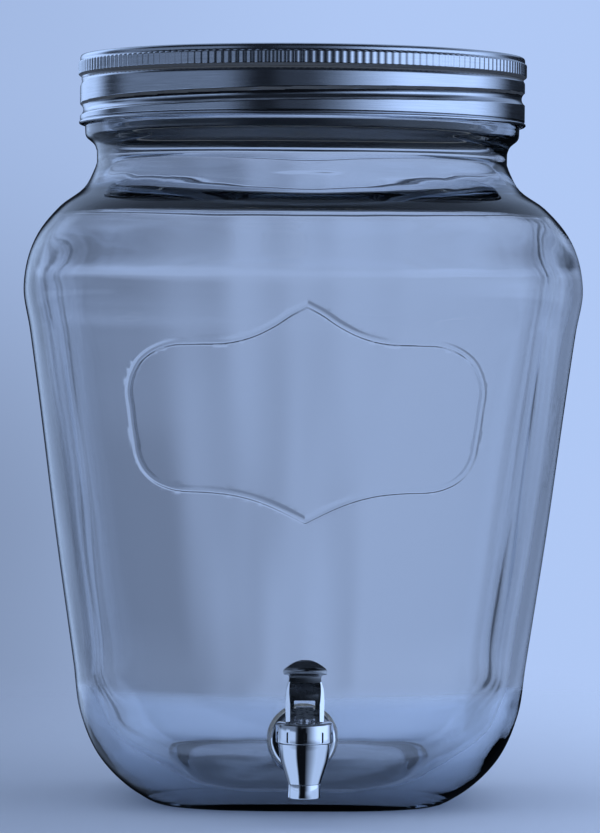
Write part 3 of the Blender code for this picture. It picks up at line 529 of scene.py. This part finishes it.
def distance_to_line(vertices, line):
    """Distance of each vertex, seen from the front, to the closed line."""
    points = np.array([(v.co.x, v.co.z) for v in vertices])
    best = np.full(len(points), 1.0)
    for a, b in zip(line, np.roll(line, -1, axis=0)):
        along = b - a
        t = np.clip((points - a) @ along / max(along @ along, 1e-12), 0, 1)
        best = np.minimum(best, np.linalg.norm(points - a - t[:, None] * along, axis=1))
    return best


def outer_spacing(row):
    """Distance to the next row of the outer side."""
    radius, height = row[:2]
    if height < FOOT_TOP:
        return 0.0011 if radius > FLAT_RADIUS else 0.008
    if height > LIP_BOTTOM or height > BEAD_BOTTOM and radius > OUTSIDE_RADIUS:
        return 0.0009
    if height > BEAD_BOTTOM or FRAME_BOTTOM < height < FRAME_TOP:
        return 0.0016
    return 0.0026


def inner_spacing(row):
    return 0.0045 if row[1] > 0.012 else 0.003


def glass_rows():
    """Sections of the outer side from the middle of the base to the rim, and of the inner side back down."""
    body = body_curve()
    base = rounded_rows(BASE_OUTLINE, BASE_ROUNDING, BASE_POWER)
    body_up = body[body[:, 1] > BODY_START]
    neck = rounded_rows([tuple(body_up[-1][:2]), *NECK_OUTLINE], NECK_ROUNDING, NECK_POWER)
    squeeze = (BODY_HEIGHT - GLASS_FLOOR) / BODY_HEIGHT
    inner = np.column_stack([body[:, 0] - GLASS_WALL, GLASS_FLOOR + body[:, 1] * squeeze, body[:, 2]])
    inner = np.vstack([inner[inner[:, 1] < INNER_SIDE_TOP], smooth_curve(INNER_SHOULDER, 8)])[::-1]
    floor = rounded_rows([tuple(inner[-1][:2]), *FLOOR_OUTLINE], FLOOR_ROUNDING, BASE_POWER)
    outer = resampled(np.vstack([base, body_up, neck[1:]]), outer_spacing)
    cavity = resampled(np.vstack([neck[-1:], inner, floor[1:]]), inner_spacing)
    return outer, cavity[1:]


def push_out(points, angles, amount):
    """Moves points (row, angle, xyz) away from the jar's axis."""
    points[:, :, 0] += amount * np.cos(angles)[None]
    points[:, :, 1] += amount * np.sin(angles)[None]


def unevenness(points, angles):
    """How uneven the inner side of pressed glass is, flat round the tap and at both ends."""
    height = points[:, :, 2]
    waves = sum(share * np.sin(turns * angles + rise * height + lead) for share, turns, rise, lead in WAVES)
    near_tap = np.hypot(points[:, :, 0], height - TAP_HEIGHT)
    calm = 1 - (1 - smoothstep(*CALM_AT_TAP, near_tap)) * (points[:, :, 1] < 0)
    calm_floor, calm_neck = smoothstep(*CALM_AT_FLOOR, height), 1 - smoothstep(*CALM_AT_NECK, height)
    return WAVE_SIZE * waves * calm * calm_floor * calm_neck


def add_glass(made):
    angles = np.concatenate([
        np.linspace(-FRONT_ANGLE, FRONT_ANGLE, FRONT_COLUMNS),
        np.linspace(FRONT_ANGLE, 2 * pi - FRONT_ANGLE, OTHER_COLUMNS)[1:-1],
    ]) - pi / 2
    positive_angles = np.mod(angles, 2 * pi)[None]
    outer_rows, inner_rows = glass_rows()
    outer, inner = rounded_square(outer_rows, angles), rounded_square(inner_rows, angles)
    on_finish = (outer_rows[:, 1] > THREAD_BOTTOM) & (outer_rows[:, 0] > THREAD_INSIDE)
    bead = thread_relief(positive_angles, outer[:, :, 2] - LID_BOTTOM, **GLASS_BEAD)
    push_out(outer, angles, bead * on_finish[:, None])
    push_out(inner, angles, unevenness(inner, positive_angles))
    jar = sweep("glass_body", [outer[0][:1], *outer[1:], *inner[:-1], inner[-1][:1]])
    raise_frame_line(jar)
    jar.data.transform(JAR_PLACE)
    combine(jar, add_boss(), "UNION")
    past_boss = BOSS_FACE + HOLE_PAST
    hole = [
        (0, POCKET_START), (POCKET_RADIUS, POCKET_START), (POCKET_RADIUS, SEAT_FACE),
        (HOLE_RADIUS, SEAT_FACE), (HOLE_RADIUS, past_boss), (0, past_boss),
    ]
    cut(jar, turned("tap_hole", hole, 64, SHANK_PLACE))
    dress(jar, made, 40)
    stand_for(jar, "glass_jar", "jar")


def add_boss():
    """The seat of the tap: flat in the middle, outside and inside, and flowing into the wall around it."""
    body = body_curve()
    around = np.arange(BOSS_STEPS) * 2 * pi / BOSS_STEPS
    front, back = [], []
    for radius in BOSS_RINGS:
        x, height = radius * np.cos(around), TAP_HEIGHT + radius * np.sin(around)
        width, power = (np.interp(height, body[:, 1], body[:, k]) for k in (0, 2))
        wall = (width ** power - np.abs(x) ** power) ** (1 / power)
        share = float(1 - smoothstep(*FRONT_EDGE, radius))
        depth = (wall - FRONT_SUNK) * (1 - share) + BOSS_FACE * share
        front.append(level_ring(radius, BOSS_STEPS, depth))
        middle, share = wall - BACK_SUNK, float(1 - smoothstep(*BACK_EDGE, radius))
        depth = middle * (1 - share) + np.minimum(SEAT_FACE - BACK_OVERLAP, middle) * share
        back.append(level_ring(radius, BOSS_STEPS, depth))
    ends = [centre(rows[0][:, 2].mean()) for rows in (back, front)]
    boss = sweep("boss", [ends[0], *back, *reversed(front), ends[1]])
    boss.data.transform(SHANK_PLACE)
    return boss


def raise_frame_line(jar):
    """Divides the faces near the frame line and raises it as a flat-topped ridge."""
    line = frame_line()
    low, high = line.min(0) - FRAME_MARGIN, line.max(0) + FRAME_MARGIN
    shape = bmesh.new()
    shape.from_mesh(jar.data)

    def front_vertices():
        return [
            v for v in shape.verts
            if v.co.y < FRONT_Y and low[0] < v.co.x < high[0] and low[1] < v.co.z < high[1] and v.normal.y < 0
        ]

    front = front_vertices()
    near = {v for v, away in zip(front, distance_to_line(front, line)) if away < FRAME_NEAR}
    edges = [e for e in shape.edges if e.verts[0] in near and e.verts[1] in near]
    bmesh.ops.subdivide_edges(shape, edges=edges, cuts=3, use_grid_fill=True)
    shape.normal_update()
    front = front_vertices()
    lift = FRAME_PROUD * (1 - smoothstep(*FRAME_EDGE, distance_to_line(front, line)))
    for v, amount in zip(front, lift):
        if amount > 1e-7:
            v.co = v.co + v.normal * float(amount)
    shape.to_mesh(jar.data)
    shape.free()


# Lid


def lid_relief(angles, height):
    """How far the lid's outer wall stands out (or, below zero, in) at a height above its lower edge."""
    def line(place, width):
        return np.exp(-((height - place) / width) ** 2)

    groove = thread_relief(angles, height, **LID_GROOVE)
    in_band = smoothstep(*BAND_BOTTOM, height) * (1 - smoothstep(*BAND_TOP, height))
    knurls = 0.5 + 0.5 * np.cos(KNURLS * angles)
    hem = HEM_PROUD * (1 - smoothstep(*HEM_EDGE, height)) - HEM_PROUD * line(HEM_EDGE[1], HEM_LINE_WIDTH)
    pressed = np.maximum(groove, PINCH_DEPTH * line(PINCH_HEIGHT, PINCH_WIDTH))
    return BAND_PROUD * in_band + KNURL_DEPTH * in_band * knurls + hem - pressed * (1 - in_band)


def lid_rings():
    """Rings of the lid from the middle of its top down the wall, and inside back up to the middle."""
    few, usual, many = KNURLS, 2 * KNURLS, 4 * KNURLS
    top = resampled(rounded([
        (0, PANEL_HEIGHT), (PANEL_RADIUS, PANEL_HEIGHT), (0.0875, LID_HEIGHT),
        (LID_RADIUS, LID_HEIGHT), (LID_RADIUS, SIDE_TOP),
    ], [0, 0.0012, 0.0012, 0.0026, 0], 7), lambda p: 0.012 if p[0] < FLAT_PANEL else 0.0006)
    edge = rounded([
        (LID_RADIUS + 0.0003, 0.0005), (LID_RADIUS - 0.0001, 0.0),
        (LID_RADIUS - 0.0008, 0.0), (LID_RADIUS - 0.0011, 0.0006),
    ], 0.0003, 3)
    under = rounded([
        (LID_RADIUS - LID_SHEET, 0.0275), (LID_RADIUS - LID_SHEET, LID_HEIGHT - LID_SHEET),
        (0.0879, LID_HEIGHT - LID_SHEET), (0.0864, PANEL_HEIGHT - LID_SHEET), (0, PANEL_HEIGHT - LID_SHEET),
    ], [0, 0.002, 0.0008, 0.0008, 0], 5)[:-1]
    rings = [centre(PANEL_HEIGHT)]
    rings += [level_ring(radius, few if radius < FEW_ON_TOP else usual, height) for radius, height in top[1:]]
    for k in range(1, SIDE_ROWS + 1):
        height = SIDE_TOP - SIDE_ROW * k
        count = many if height > BAND_BOTTOM[0] - SIDE_ROW else usual
        angles = np.arange(count) * 2 * pi / count
        rings.append(level_ring(LID_RADIUS + lid_relief(angles, height), count, height))
    rings += [level_ring(radius, usual, height) for radius, height in edge]
    angles = np.arange(usual) * 2 * pi / usual
    for height in np.arange(*INSIDE_ROWS):
        ridge = thread_relief(angles, height, **LID_RIDGE)
        rings.append(level_ring(LID_RADIUS - LID_SHEET - ridge, usual, height))
    rings += [level_ring(radius, few if radius < FEW_INSIDE else usual, height) for radius, height in under]
    return [*rings, centre(PANEL_HEIGHT - LID_SHEET)]


def add_lid(made, shaded_inside):
    """The screw lid, with a near-black painted shade on the faces that look down or inwards."""
    lid = sweep("screw_lid", list(reversed(lid_rings())))
    lid.data.transform(Matrix.Translation((0, JAR_Y, LID_BOTTOM)))
    dress(lid, made, 80)
    lid.data.materials.append(shaded_inside)
    # Faces under the top and inside the wall get the near-black material as painted shade
    for face in lid.data.polygons:
        outward = Vector((face.center.x, face.center.y - JAR_Y, 0)).normalized()
        height = face.center.z - LID_BOTTOM
        if face.normal.z < -0.5 and height > 0.004 or face.normal.dot(outward) < -0.2 and height > 0.0008:
            face.material_index = 1
    stand_for(lid, "lid_shell", "lid")


# Tap


def cut_shank(start, end):
    """The shank with a fine screw thread and a narrower tip, cut into it row by row."""
    angles = np.arange(SHANK_STEPS) * 2 * pi / SHANK_STEPS
    rings = [centre(start)]
    for height in np.arange(start, end - SHANK_PLAIN, SHANK_ROW):
        turn = np.mod(height / SHANK_PITCH - angles / (2 * pi), 1)
        along = (height - start) / SHANK_TIP
        depth = SHANK_CUT * np.abs(2 * turn - 1) * min(1, along) + SHANK_TIP_CUT * max(0, 1 - along)
        rings.append(level_ring(SHANK_RADIUS - depth, SHANK_STEPS, height))
    rings.append(level_ring(SHANK_RADIUS, SHANK_STEPS, end + SHANK_OVERLAP))
    shank = sweep("shank", [*rings, centre(end + SHANK_OVERLAP)])
    shank.data.transform(SHANK_PLACE)
    return shank


def tap_bowl():
    """Outline (radius, height) of the valve's body, from under the nozzle to the neck inside the bonnet."""
    taper = smooth_curve([
        (0.00690, 0.0184), (0.00735, 0.0199), (0.0086, 0.0236),
        (0.0100, 0.0280), (0.01075, 0.0322), (0.0110, 0.0352),
    ], 8)
    return rounded([
        (0, 0.0123), (0.00685, 0.0123), (0.00685, 0.0182), (0.0065, 0.0184), *map(tuple, taper),
        (0.0096, 0.0352), (0.0096, 0.0405), (0, 0.0405),
    ], [0, 0.0006, 0.0003, 0.0001, *[0.0] * (len(taper) - 1), 0.0004, 0.0002, 0.0003, 0], 4)


def add_tap_body(made):
    back, front, shank_end = FLANGE_BACK, FLANGE_BACK + FLANGE_THICKNESS, JAR_Y - BODY_HIGH.y
    body = turned("tap_casting", tap_bowl(), 120, VALVE_PLACE)
    flange = rounded([
        (0, back), (FLANGE_RADIUS, back), (FLANGE_RADIUS, front - 0.0004), (0.0121, front),
        (0.0080, front), (0.0076, front + 0.0009), (0, front + 0.0009),
    ], [0, 0.0003, 0.0008, 0.0006, 0.0004, 0.0004, 0], 5)
    combine(body, turned("flange", flange, 120, SHANK_PLACE), "UNION")
    path = smooth_curve([
        (-back - share * (JAR_Y - VALVE_Y - back), TAP_HEIGHT - BARREL_DROP * down)
        for share, down in [(0.04, 0), (0.12, 0.03), (0.28, 0.42), (0.46, 0.86), (1, 1)]
    ], 8)
    points = [(0, JAR_Y + y, z) for y, z in path]
    last = len(points) - 1
    radii = [BARREL_START + (BARREL_END - BARREL_START) * k / last for k in range(last + 1)]
    combine(body, tube("barrel", points, radii, 64), "UNION")
    combine(body, cut_shank(shank_end, back), "UNION")
    chamber = [
        (0, 0.0113), (0.0045, 0.0113), (0.0045, 0.0230), (0.0066, 0.0230),
        (0.0078, 0.02845), (0.0078, 0.0415), (0, 0.0415),
    ]
    cut(body, turned("chamber", chamber, 64, VALVE_PLACE))
    bore = [(0, JAR_Y - shank_end + 0.001, TAP_HEIGHT), *points]
    cut(body, tube("bore", bore, [BORE_RADIUS] * len(bore), 32))
    dress(body, made, 40)
    stand_for(body, "tap_body", "jar")


def box_outline(half, low, high):
    return [(-half, low), (half, low), (half, high), (-half, high)]


def add_bonnet(made):
    """The collar over the valve, with grip notches just above its lower edge."""
    bottom, top, radius = BONNET_LOW.z, BONNET_HIGH.z, BONNET_RADIUS
    profile = rounded([
        (0.0099, bottom), (radius, bottom), (radius, top),
        (0.0028, top), (0.0028, top - 0.0022), (0.0099, top - 0.0022),
    ], [0.0002, 0.00045, 0.0012, 0.0003, 0.0002, 0.0003], 5, closed=True)
    bonnet = turned("bonnet_collar", profile, 240, VALVE_PLACE, closed=True)
    outline = rounded(box_outline(NOTCH_HALF, bottom + 0.0005, bottom + 0.0050), 0.0005, 4, closed=True)
    for k in range(NOTCHES):
        place = VALVE_PLACE @ Matrix.Rotation(2 * pi * (k + 0.5) / NOTCHES, 4, "Z") @ QUARTER_TURN @ OUTWARD
        cut(bonnet, prism("notch", outline, -radius - 0.001, -radius + NOTCH_DEPTH, place))
    dress(bonnet, made, 35)
    stand_for(bonnet, "tap_bonnet", "jar")


def lever_side():
    """The lever from the side as (back, up) from its pin, with the cam at its foot."""
    cam = []
    for k in range(CAM_STEPS + 1):
        swing = SWING * k / CAM_STEPS
        drop = CAM_DROP + CAM_RISE * swing
        cam.append((-drop * sin(swing) - CAM_HALF * cos(swing), -drop * cos(swing) + CAM_HALF * sin(swing)))
    back = smooth_curve([
        (0.0046, 0.0016), (0.0044, 0.0052), (0.0036, 0.0092), (0.0020, 0.0130),
        (-0.0006, 0.0172), (-0.0032, 0.0203), (-0.0056, 0.0224),
    ], 5)
    front = smooth_curve([
        (-0.0090, 0.0186), (-0.0078, 0.0172), (-0.0062, 0.0156), (-0.0050, 0.0132),
        (-0.0047, 0.0104), (-0.0048, 0.0068), (-0.0052, 0.0038), (-0.0067, 0.0010),
    ], 5)
    tip = [(-0.0062, 0.0226), (-0.0070, 0.0222), (-0.0089, 0.0196)]
    return [(0.0042, -0.0034), *map(tuple, back), *tip, *map(tuple, front), *reversed(cam)]


def lever_front():
    """The lever from the front as (across, up): rails, waist, and ears under a rounded crown."""
    right = smooth_curve([
        (0.0079, -0.0046), (0.0079, 0.0086), (0.0076, 0.0108),
        (0.0069, 0.0130), (0.0066, 0.0150), (0.0071, 0.0164),
    ], 5)
    ear = smooth_curve([
        (0.0088, 0.0166), (0.0092, 0.0176), (0.0086, 0.0190), (0.0071, 0.0202),
        (0.0052, 0.0214), (0.0026, 0.0224), (0, 0.0228),
    ], 5)
    half = [*map(tuple, right), *map(tuple, ear)]
    return [*half, *[(-x, z) for x, z in reversed(half[:-1])]]


def chamfer_rails(lever):
    """Gives both rails a flat facet along their outer front edge, from the foot to the waist."""
    corner = ((0.0150, 0.0037), (0.0020, -0.0093), (0.0200, -0.0093), (0.0200, 0.0037))
    for side in (-1, 1):
        outline = [(side * x, y) for x, y in corner]
        cut(lever, prism("facet", outline, -0.0060, 0.0134, LEVER_PLACE))


def scoop_thumb_rest(lever):
    """Hollows the front between the waist and the lip."""
    middle = Matrix.Translation((0, VALVE_Y - 0.0172, PIN_HEIGHT + 0.0156))
    place = middle @ Matrix.Rotation(radians(28), 4, "X")
    profile = [(0, -0.0088), (0.0062, -0.0062), (0.0108, 0), (0.0062, 0.0062), (0, 0.0088)]
    scoop = turned("scoop", profile, 48, place)
    subdivide = scoop.modifiers.new("smooth", "SUBSURF")
    subdivide.levels = subdivide.render_levels = 2
    cut(lever, scoop)


def add_lever(made):
    """The fork lever. Its front is hollowed between its rims, down to a web that follows the back."""
    side, upright = LEVER_PLACE @ QUARTER_TURN @ OUTWARD, LEVER_PLACE @ OUTWARD
    lever = prism("thumb_lever", lever_side(), -LEVER_HALF, LEVER_HALF, side)
    combine(lever, prism("lever_front", lever_front(), -BEYOND, BEYOND, upright), "INTERSECT")
    chamfer_rails(lever)
    web = smooth_curve([
        (0.0016, -0.0050), (0.0016, 0.0040), (0.0010, 0.0075),
        (-0.0006, 0.0103), (-0.0030, 0.0122), (-0.0060, 0.0133),
    ], 6)
    hollow = [*map(tuple, web), (-BEYOND, 0.0138), (-BEYOND, -0.0050)]
    cut(lever, prism("hollow", hollow, -HOLLOW_HALF, HOLLOW_HALF, side))
    slot = rounded(box_outline(0.0044, -0.0060, 0.0051), 0.0005, 4, closed=True)
    cut(lever, prism("slot", slot, -BEYOND, BEYOND, upright))
    scoop_thumb_rest(lever)
    across = LEVER_PLACE @ Matrix.Rotation(pi / 2, 4, "Y")
    pin_hole = [(0, -0.01), (PIN_HOLE, -0.01), (PIN_HOLE, 0.01), (0, 0.01)]
    cut(lever, turned("pin_hole", pin_hole, 40, across))
    dress(lever, made, 32, bevel=0.00022)
    stand_for(lever, "tap_lever", "lever")


def add_washers(steel, rubber):
    """The washers on the shank, with rounded edges."""
    for node, radius, made, slot, edge in (
        ("outer_washer", 0.0125, rubber, "silicone", 0.0006),
        ("inner_washer", 0.0135, rubber, "silicone", 0.0006),
        ("shank_washer", 0.013, steel, "steel", 0.0003),
    ):
        low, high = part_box(node)
        start, end = JAR_Y - high.y, JAR_Y - low.y
        outline = [(SHANK_HOLE, start), (radius, start), (radius, end), (SHANK_HOLE, end)]
        washer = turned(f"{node}_ring", rounded(outline, edge, 4, closed=True), 96, SHANK_PLACE, closed=True)
        dress(washer, made, 40)
        stand_for(washer, node, "jar")


def add_nut(made):
    """The hexagon nut, turned down at its corners and widened at both ends of its bore."""
    low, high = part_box("shank_nut")
    start, end, flat, point, mouth = JAR_Y - high.y, JAR_Y - low.y, 0.0121, 0.0141, 0.0089
    corners = [(0.0138 * cos(pi * k / 3), 0.0138 * sin(pi * k / 3)) for k in range(6)]
    nut = prism("hexagon_nut", rounded(corners, 0.0004, 3, closed=True), start, end, SHANK_PLACE)
    chamfer = [
        (0, start), (flat, start), (point, start + 0.0012), (point, end - 0.0012), (flat, end), (0, end),
    ]
    combine(nut, turned("chamfer", chamfer, 96, SHANK_PLACE), "INTERSECT")
    bore = [
        (0, start - 0.001), (mouth, start - 0.001), (SHANK_HOLE, start + 0.0007),
        (SHANK_HOLE, end - 0.0007), (mouth, end + 0.001), (0, end + 0.001),
    ]
    cut(nut, turned("nut_bore", bore, 64, SHANK_PLACE))
    dress(nut, made, 30, bevel=0.00012, segments=2)
    stand_for(nut, "shank_nut", "jar")


def add_spring(made):
    """The closing spring at rest. Nothing here makes it shorten from below as the stem rises."""
    low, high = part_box("closing_spring")
    start, end = low.z + SPRING_WIRE, high.z - SPRING_WIRE
    count = SPRING_TURNS * 24
    points = []
    for i in range(count + 1):
        angle = 2 * pi * SPRING_TURNS * i / count
        x, y = SPRING_RADIUS * cos(angle), VALVE_Y + SPRING_RADIUS * sin(angle)
        points.append((x, y, start + (end - start) * i / count))
    spring = tube("stem_spring", points, [SPRING_WIRE] * len(points), 12)
    dress(spring, made, 40)
    stand_for(spring, "closing_spring", "jar")
    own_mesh(spring)


def dress_nodes(steel, silicone, liner):
    """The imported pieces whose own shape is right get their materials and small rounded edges."""
    for name, made, edge in (
        ("valve_stem", steel, 0.0004), ("lever_pin", steel, 0.0002),
        ("seat_cup", silicone, 0.0002), ("bonnet_seal", silicone, 0.0001), ("lid_liner", liner, 0.0004),
    ):
        node = NODES[name]
        node.data.materials.clear()
        node.data.materials.append(made)
        round_edges(node, edge, 2, 40)


# Studio. A soft box has a strength, and where it opens and closes in turn and in rise, in degrees

PALE = (0.376, 0.503, 0.791)
THROUGH_GLASS = (0.395, 0.503, 0.745)
STUDIO_BLUE = (0.64, 0.88, 1.36)
WHITE = (1, 1, 1)
LOW_BOX, TALL_BOX = (-14, -7, 9, 20), (-45, -14, 14, 45)
SOFT_BOXES = (
    (0.95, (0, 52, 95, 135), LOW_BOX), (0.24, (35, 60, 95, 135), TALL_BOX),
    (0.22, (-118, -100, -44, -24), LOW_BOX), (0.06, (-19, -9, 8, 20), (0, 2, 9, 20)),
    (0.75, (-172, -160, -138, -118), LOW_BOX), (0.20, (-172, -160, -138, -118), TALL_BOX),
    (0.50, (-135, -110, -42, -33), (-12, -8, -3, -1.5)), (0.45, (-160, -150, -130, -118), (6, 9, 30, 40)),
)
FLOOR_RADIUS, FLOOR_DROP = 0.9, 0.0002
CAMERA_DISTANCE, CAMERA_HEIGHT, CAMERA_LENS = 2.0, 0.199, 194.2
CAMERA_SWING, CAMERA_DOWN, CAMERA_ROLL = radians(-1.3), 0.845, radians(0.45)


class Studio(Graph):
    """The world: levels of light for the direction (x, y, z) of a ray."""

    def __init__(self, tree):
        super().__init__(tree)
        self.x, self.y, z = self.parts(self.add("ShaderNodeTexCoord").outputs["Generated"])
        self.light = self.add("ShaderNodeLightPath").outputs
        # Turn about Z from the side where the tap is, to the right, and rise above the floor
        self.turn = self.times(self.maths("ARCTAN2", self.x, self.times(self.y, -1.0)), 180 / pi)
        self.rise = self.times(self.maths("ARCSINE", z), 180 / pi)

    def window(self, source, low, low_full, high_full, high):
        return self.times(self.ramp(source, low, low_full), self.rest(self.ramp(source, high_full, high)))

    def dimmed(self, level, shade, amount):
        """The level, less this share of it where the shade is 1."""
        return self.times(level, self.rest(self.times(shade, amount)))

    def boxes(self):
        """Soft boxes, and light from above and behind, that metal and the face of the glass reflect."""
        level = self.maths("MULTIPLY_ADD", self.ramp(self.rise, 0, 2), 0.014, 0.006)
        for strength, across, up in SOFT_BOXES:
            box = self.times(self.window(self.turn, *across), self.window(self.rise, *up))
            level = self.maths("MULTIPLY_ADD", box, strength, level)
        above = self.times(self.ramp(self.rise, 50, 68), self.ramp(self.y, -0.25, 0.05))
        level = self.maths("MULTIPLY_ADD", above, 0.45, level)
        behind = self.times(self.window(self.rise, 9, 16, 50, 66), self.ramp(self.y, 0.05, 0.35))
        level = self.maths("MULTIPLY_ADD", behind, 0.40, level)
        return self.maths("MINIMUM", level, 1.2)

    def backdrop(self):
        """The plain backdrop, lighter to the right and, at the left, above the floor."""
        left = self.maths("MULTIPLY_ADD", self.ramp(self.rise, -2.6, 3.5), 0.38, 0.59)
        to_right = self.ramp(self.x, -0.060, 0.055)
        return self.maths("ADD", self.times(left, self.rest(to_right)), self.times(to_right, 1.15))

    def through_glass(self, backdrop):
        """The backdrop as clear glass shows it: darker, with dark cards at the sides and above."""
        left_card = self.times(self.ramp(self.x, -0.16, -0.27), self.ramp(self.rise, -18, -10))
        level = self.rest(self.times(left_card, 0.80))
        level = self.maths("SUBTRACT", level, self.times(self.ramp(self.x, 0.44, 0.64), 0.35))
        level = self.maths("MULTIPLY_ADD", self.ramp(self.x, -0.50, -0.66), 0.50, level)
        level = self.times(level, self.maths("MULTIPLY_ADD", self.ramp(self.rise, 1.9, 2.6), 0.12, 1.0))
        level = self.dimmed(level, self.ramp(self.rise, 7.5, 14), 0.90)
        sides, low = self.ramp(self.maths("ABSOLUTE", self.x), 0.15, 0.30), self.ramp(self.rise, -24, -13)
        level = self.dimmed(level, self.times(sides, self.rest(low)), 0.85)
        # Rays that the glass sent back to the front see a dim room
        reflected = self.maths("GREATER_THAN", self.light["Glossy Depth"], 0.5)
        level = self.dimmed(level, self.times(self.ramp(self.y, 0.3, -0.3), reflected), 0.85)
        level = self.maths("MAXIMUM", level, 0.12)
        return self.times(self.times(level, backdrop), 0.86)

    def seen(self):
        """Metal, clear glass, soft surfaces and the camera each meet their own part of the studio."""
        backdrop = self.backdrop()
        plain = self.shining(PALE, backdrop, "Background")
        clear = self.shining(THROUGH_GLASS, self.through_glass(backdrop), "Background")
        metal = self.shining(STUDIO_BLUE, self.boxes(), "Background")
        white = self.shining(WHITE, 1.0, "Background")
        seen = self.mix(self.light["Is Glossy Ray"], white, metal)
        seen = self.mix(self.light["Is Transmission Ray"], seen, clear)
        seen = self.mix(self.maths("GREATER_THAN", self.light["Diffuse Depth"], 0.5), seen, white)
        return self.mix(self.light["Is Camera Ray"], seen, plain)


def add_studio():
    world = bpy.data.worlds.new("studio")
    bpy.context.scene.world = world
    world.use_nodes = True
    world.cycles.sampling_method = "NONE"
    world.node_tree.nodes.clear()
    studio = Studio(world.node_tree)
    studio.add("ShaderNodeOutputWorld", {"Surface": studio.seen()})


def floor_glow(look, x, y, distance):
    """Where metal sees a pale floor: beside the tap, with a dark gap in front of it, and right under it."""
    turn = look.maths("ARCTAN2", x, look.maths("SUBTRACT", VALVE_Y, y))
    left = look.range(turn, 1.0, 0.0, radians(-42), radians(-33))
    right = look.range(turn, 0.0, 1.0, radians(2), radians(55))
    in_front = look.range(look.maths("ABSOLUTE", turn), 1.0, 0.0, radians(105), radians(125))
    sheet = look.times(look.maths("ADD", left, right), in_front)
    sheet = look.times(sheet, look.range(distance, 1.0, 0.0, 0.24, 0.32))
    from_tap = look.add("ShaderNodeVectorMath", (look.place, (0, VALVE_Y, 0)), operation="DISTANCE")
    return look.maths("MAXIMUM", sheet, look.range(from_tap.outputs["Value"], 0.50, 0.0, 0.012, 0.030))


def floor_look():
    """A floor that melts into the backdrop, its colour painted lighter to the right. Glass shows it with a
    painted shadow near the jar and a faint painted glow, and metal in part.
    """
    look = Look("pale_floor")
    x, y, _ = look.parts(look.place)
    # Painted light: the floor's colour grows lighter to the right, as the backdrop's light does
    lit_floor_colour = look.scaled(PALE, look.range(x, 0.62, 1.14, -0.20, 0.20))
    look.set(Base_Color=lit_floor_colour, Roughness=1.0, Specular_IOR_Level=0.0)
    distance = look.add("ShaderNodeVectorMath", (look.place,), operation="LENGTH").outputs["Value"]
    clear = look.add("ShaderNodeBsdfTransparent").outputs[0]
    melting = look.range(distance, 0.0, 1.0, FLOOR_RADIUS * 0.35, FLOOR_RADIUS * 0.95)
    plain = look.mix(melting, look.shader.outputs[0], clear)
    # Painted shadow: seen through the glass, the floor's colour is darker near the jar
    shadowed_floor_colour = look.scaled(lit_floor_colour, look.range(distance, 0.30, 1.20, 0.048, 0.094))
    shaded = look.add("ShaderNodeBsdfDiffuse", (shadowed_floor_colour,)).outputs[0]
    # Painted light: a faint glow of the backdrop colour lifts the shadow seen through the glass
    shadow_with_glow = look.add("ShaderNodeAddShader", (shaded, look.shining(PALE, 0.08))).outputs[0]
    through = look.mix(look.range(distance, 0.0, 1.0, 0.16, 0.26), shadow_with_glow, clear)
    mirrored = look.mix(floor_glow(look, x, y, distance), clear, look.shining(STUDIO_BLUE, 0.72))
    light = look.add("ShaderNodeLightPath").outputs
    seen = look.mix(light["Is Glossy Ray"], plain, mirrored)
    look.feed(look.output["Surface"], look.mix(light["Is Transmission Ray"], seen, through))
    return look.material


def add_floor():
    mesh = bpy.data.meshes.new("floor")
    shape = bmesh.new()
    bmesh.ops.create_circle(shape, cap_ends=True, segments=96, radius=FLOOR_RADIUS)
    shape.to_mesh(mesh)
    shape.free()
    floor = add_object("floor", mesh)
    floor.location.z = -FLOOR_DROP
    mesh.materials.append(floor_look())


def add_camera():
    """A long lens in front of the jar, a little to the left, with a slight roll."""
    camera = bpy.data.cameras.new("camera")
    camera.lens, camera.clip_start, camera.clip_end = CAMERA_LENS, 0.05, 50
    obj = add_object("camera", camera)
    obj.location = (
        CAMERA_DISTANCE * sin(CAMERA_SWING), JAR_Y - CAMERA_DISTANCE * cos(CAMERA_SWING), CAMERA_HEIGHT,
    )
    obj.rotation_mode = "QUATERNION"
    aim = Matrix.Rotation(CAMERA_SWING, 4, "Z") @ Matrix.Rotation(radians(90 - CAMERA_DOWN), 4, "X")
    obj.rotation_quaternion = (aim @ Matrix.Rotation(CAMERA_ROLL, 4, "Z")).to_quaternion()
    bpy.context.scene.camera = obj


def main():
    bpy.context.scene.view_settings.view_transform = "Standard"
    add_camera()
    add_studio()
    add_floor()
    chrome, steel = chrome_look(), steel_look()
    silicone = soft_look("white_silicone", (0.74, 0.78, 0.82), 0.55)
    liner = soft_look("white_liner", (0.85, 0.85, 0.83), 0.6)
    add_glass(glass_look())
    # The lid's inside takes a near-black material as painted shade
    add_lid(lid_look(), soft_look("lid_inside_painted_shade", (0.060, 0.075, 0.100), 0.45))
    add_tap_body(chrome)
    add_bonnet(chrome)
    add_lever(chrome_look("satin_chrome", 0.17))
    add_washers(steel, silicone)
    add_nut(steel)
    add_spring(steel)
    dress_nodes(steel, silicone, liner)


main()
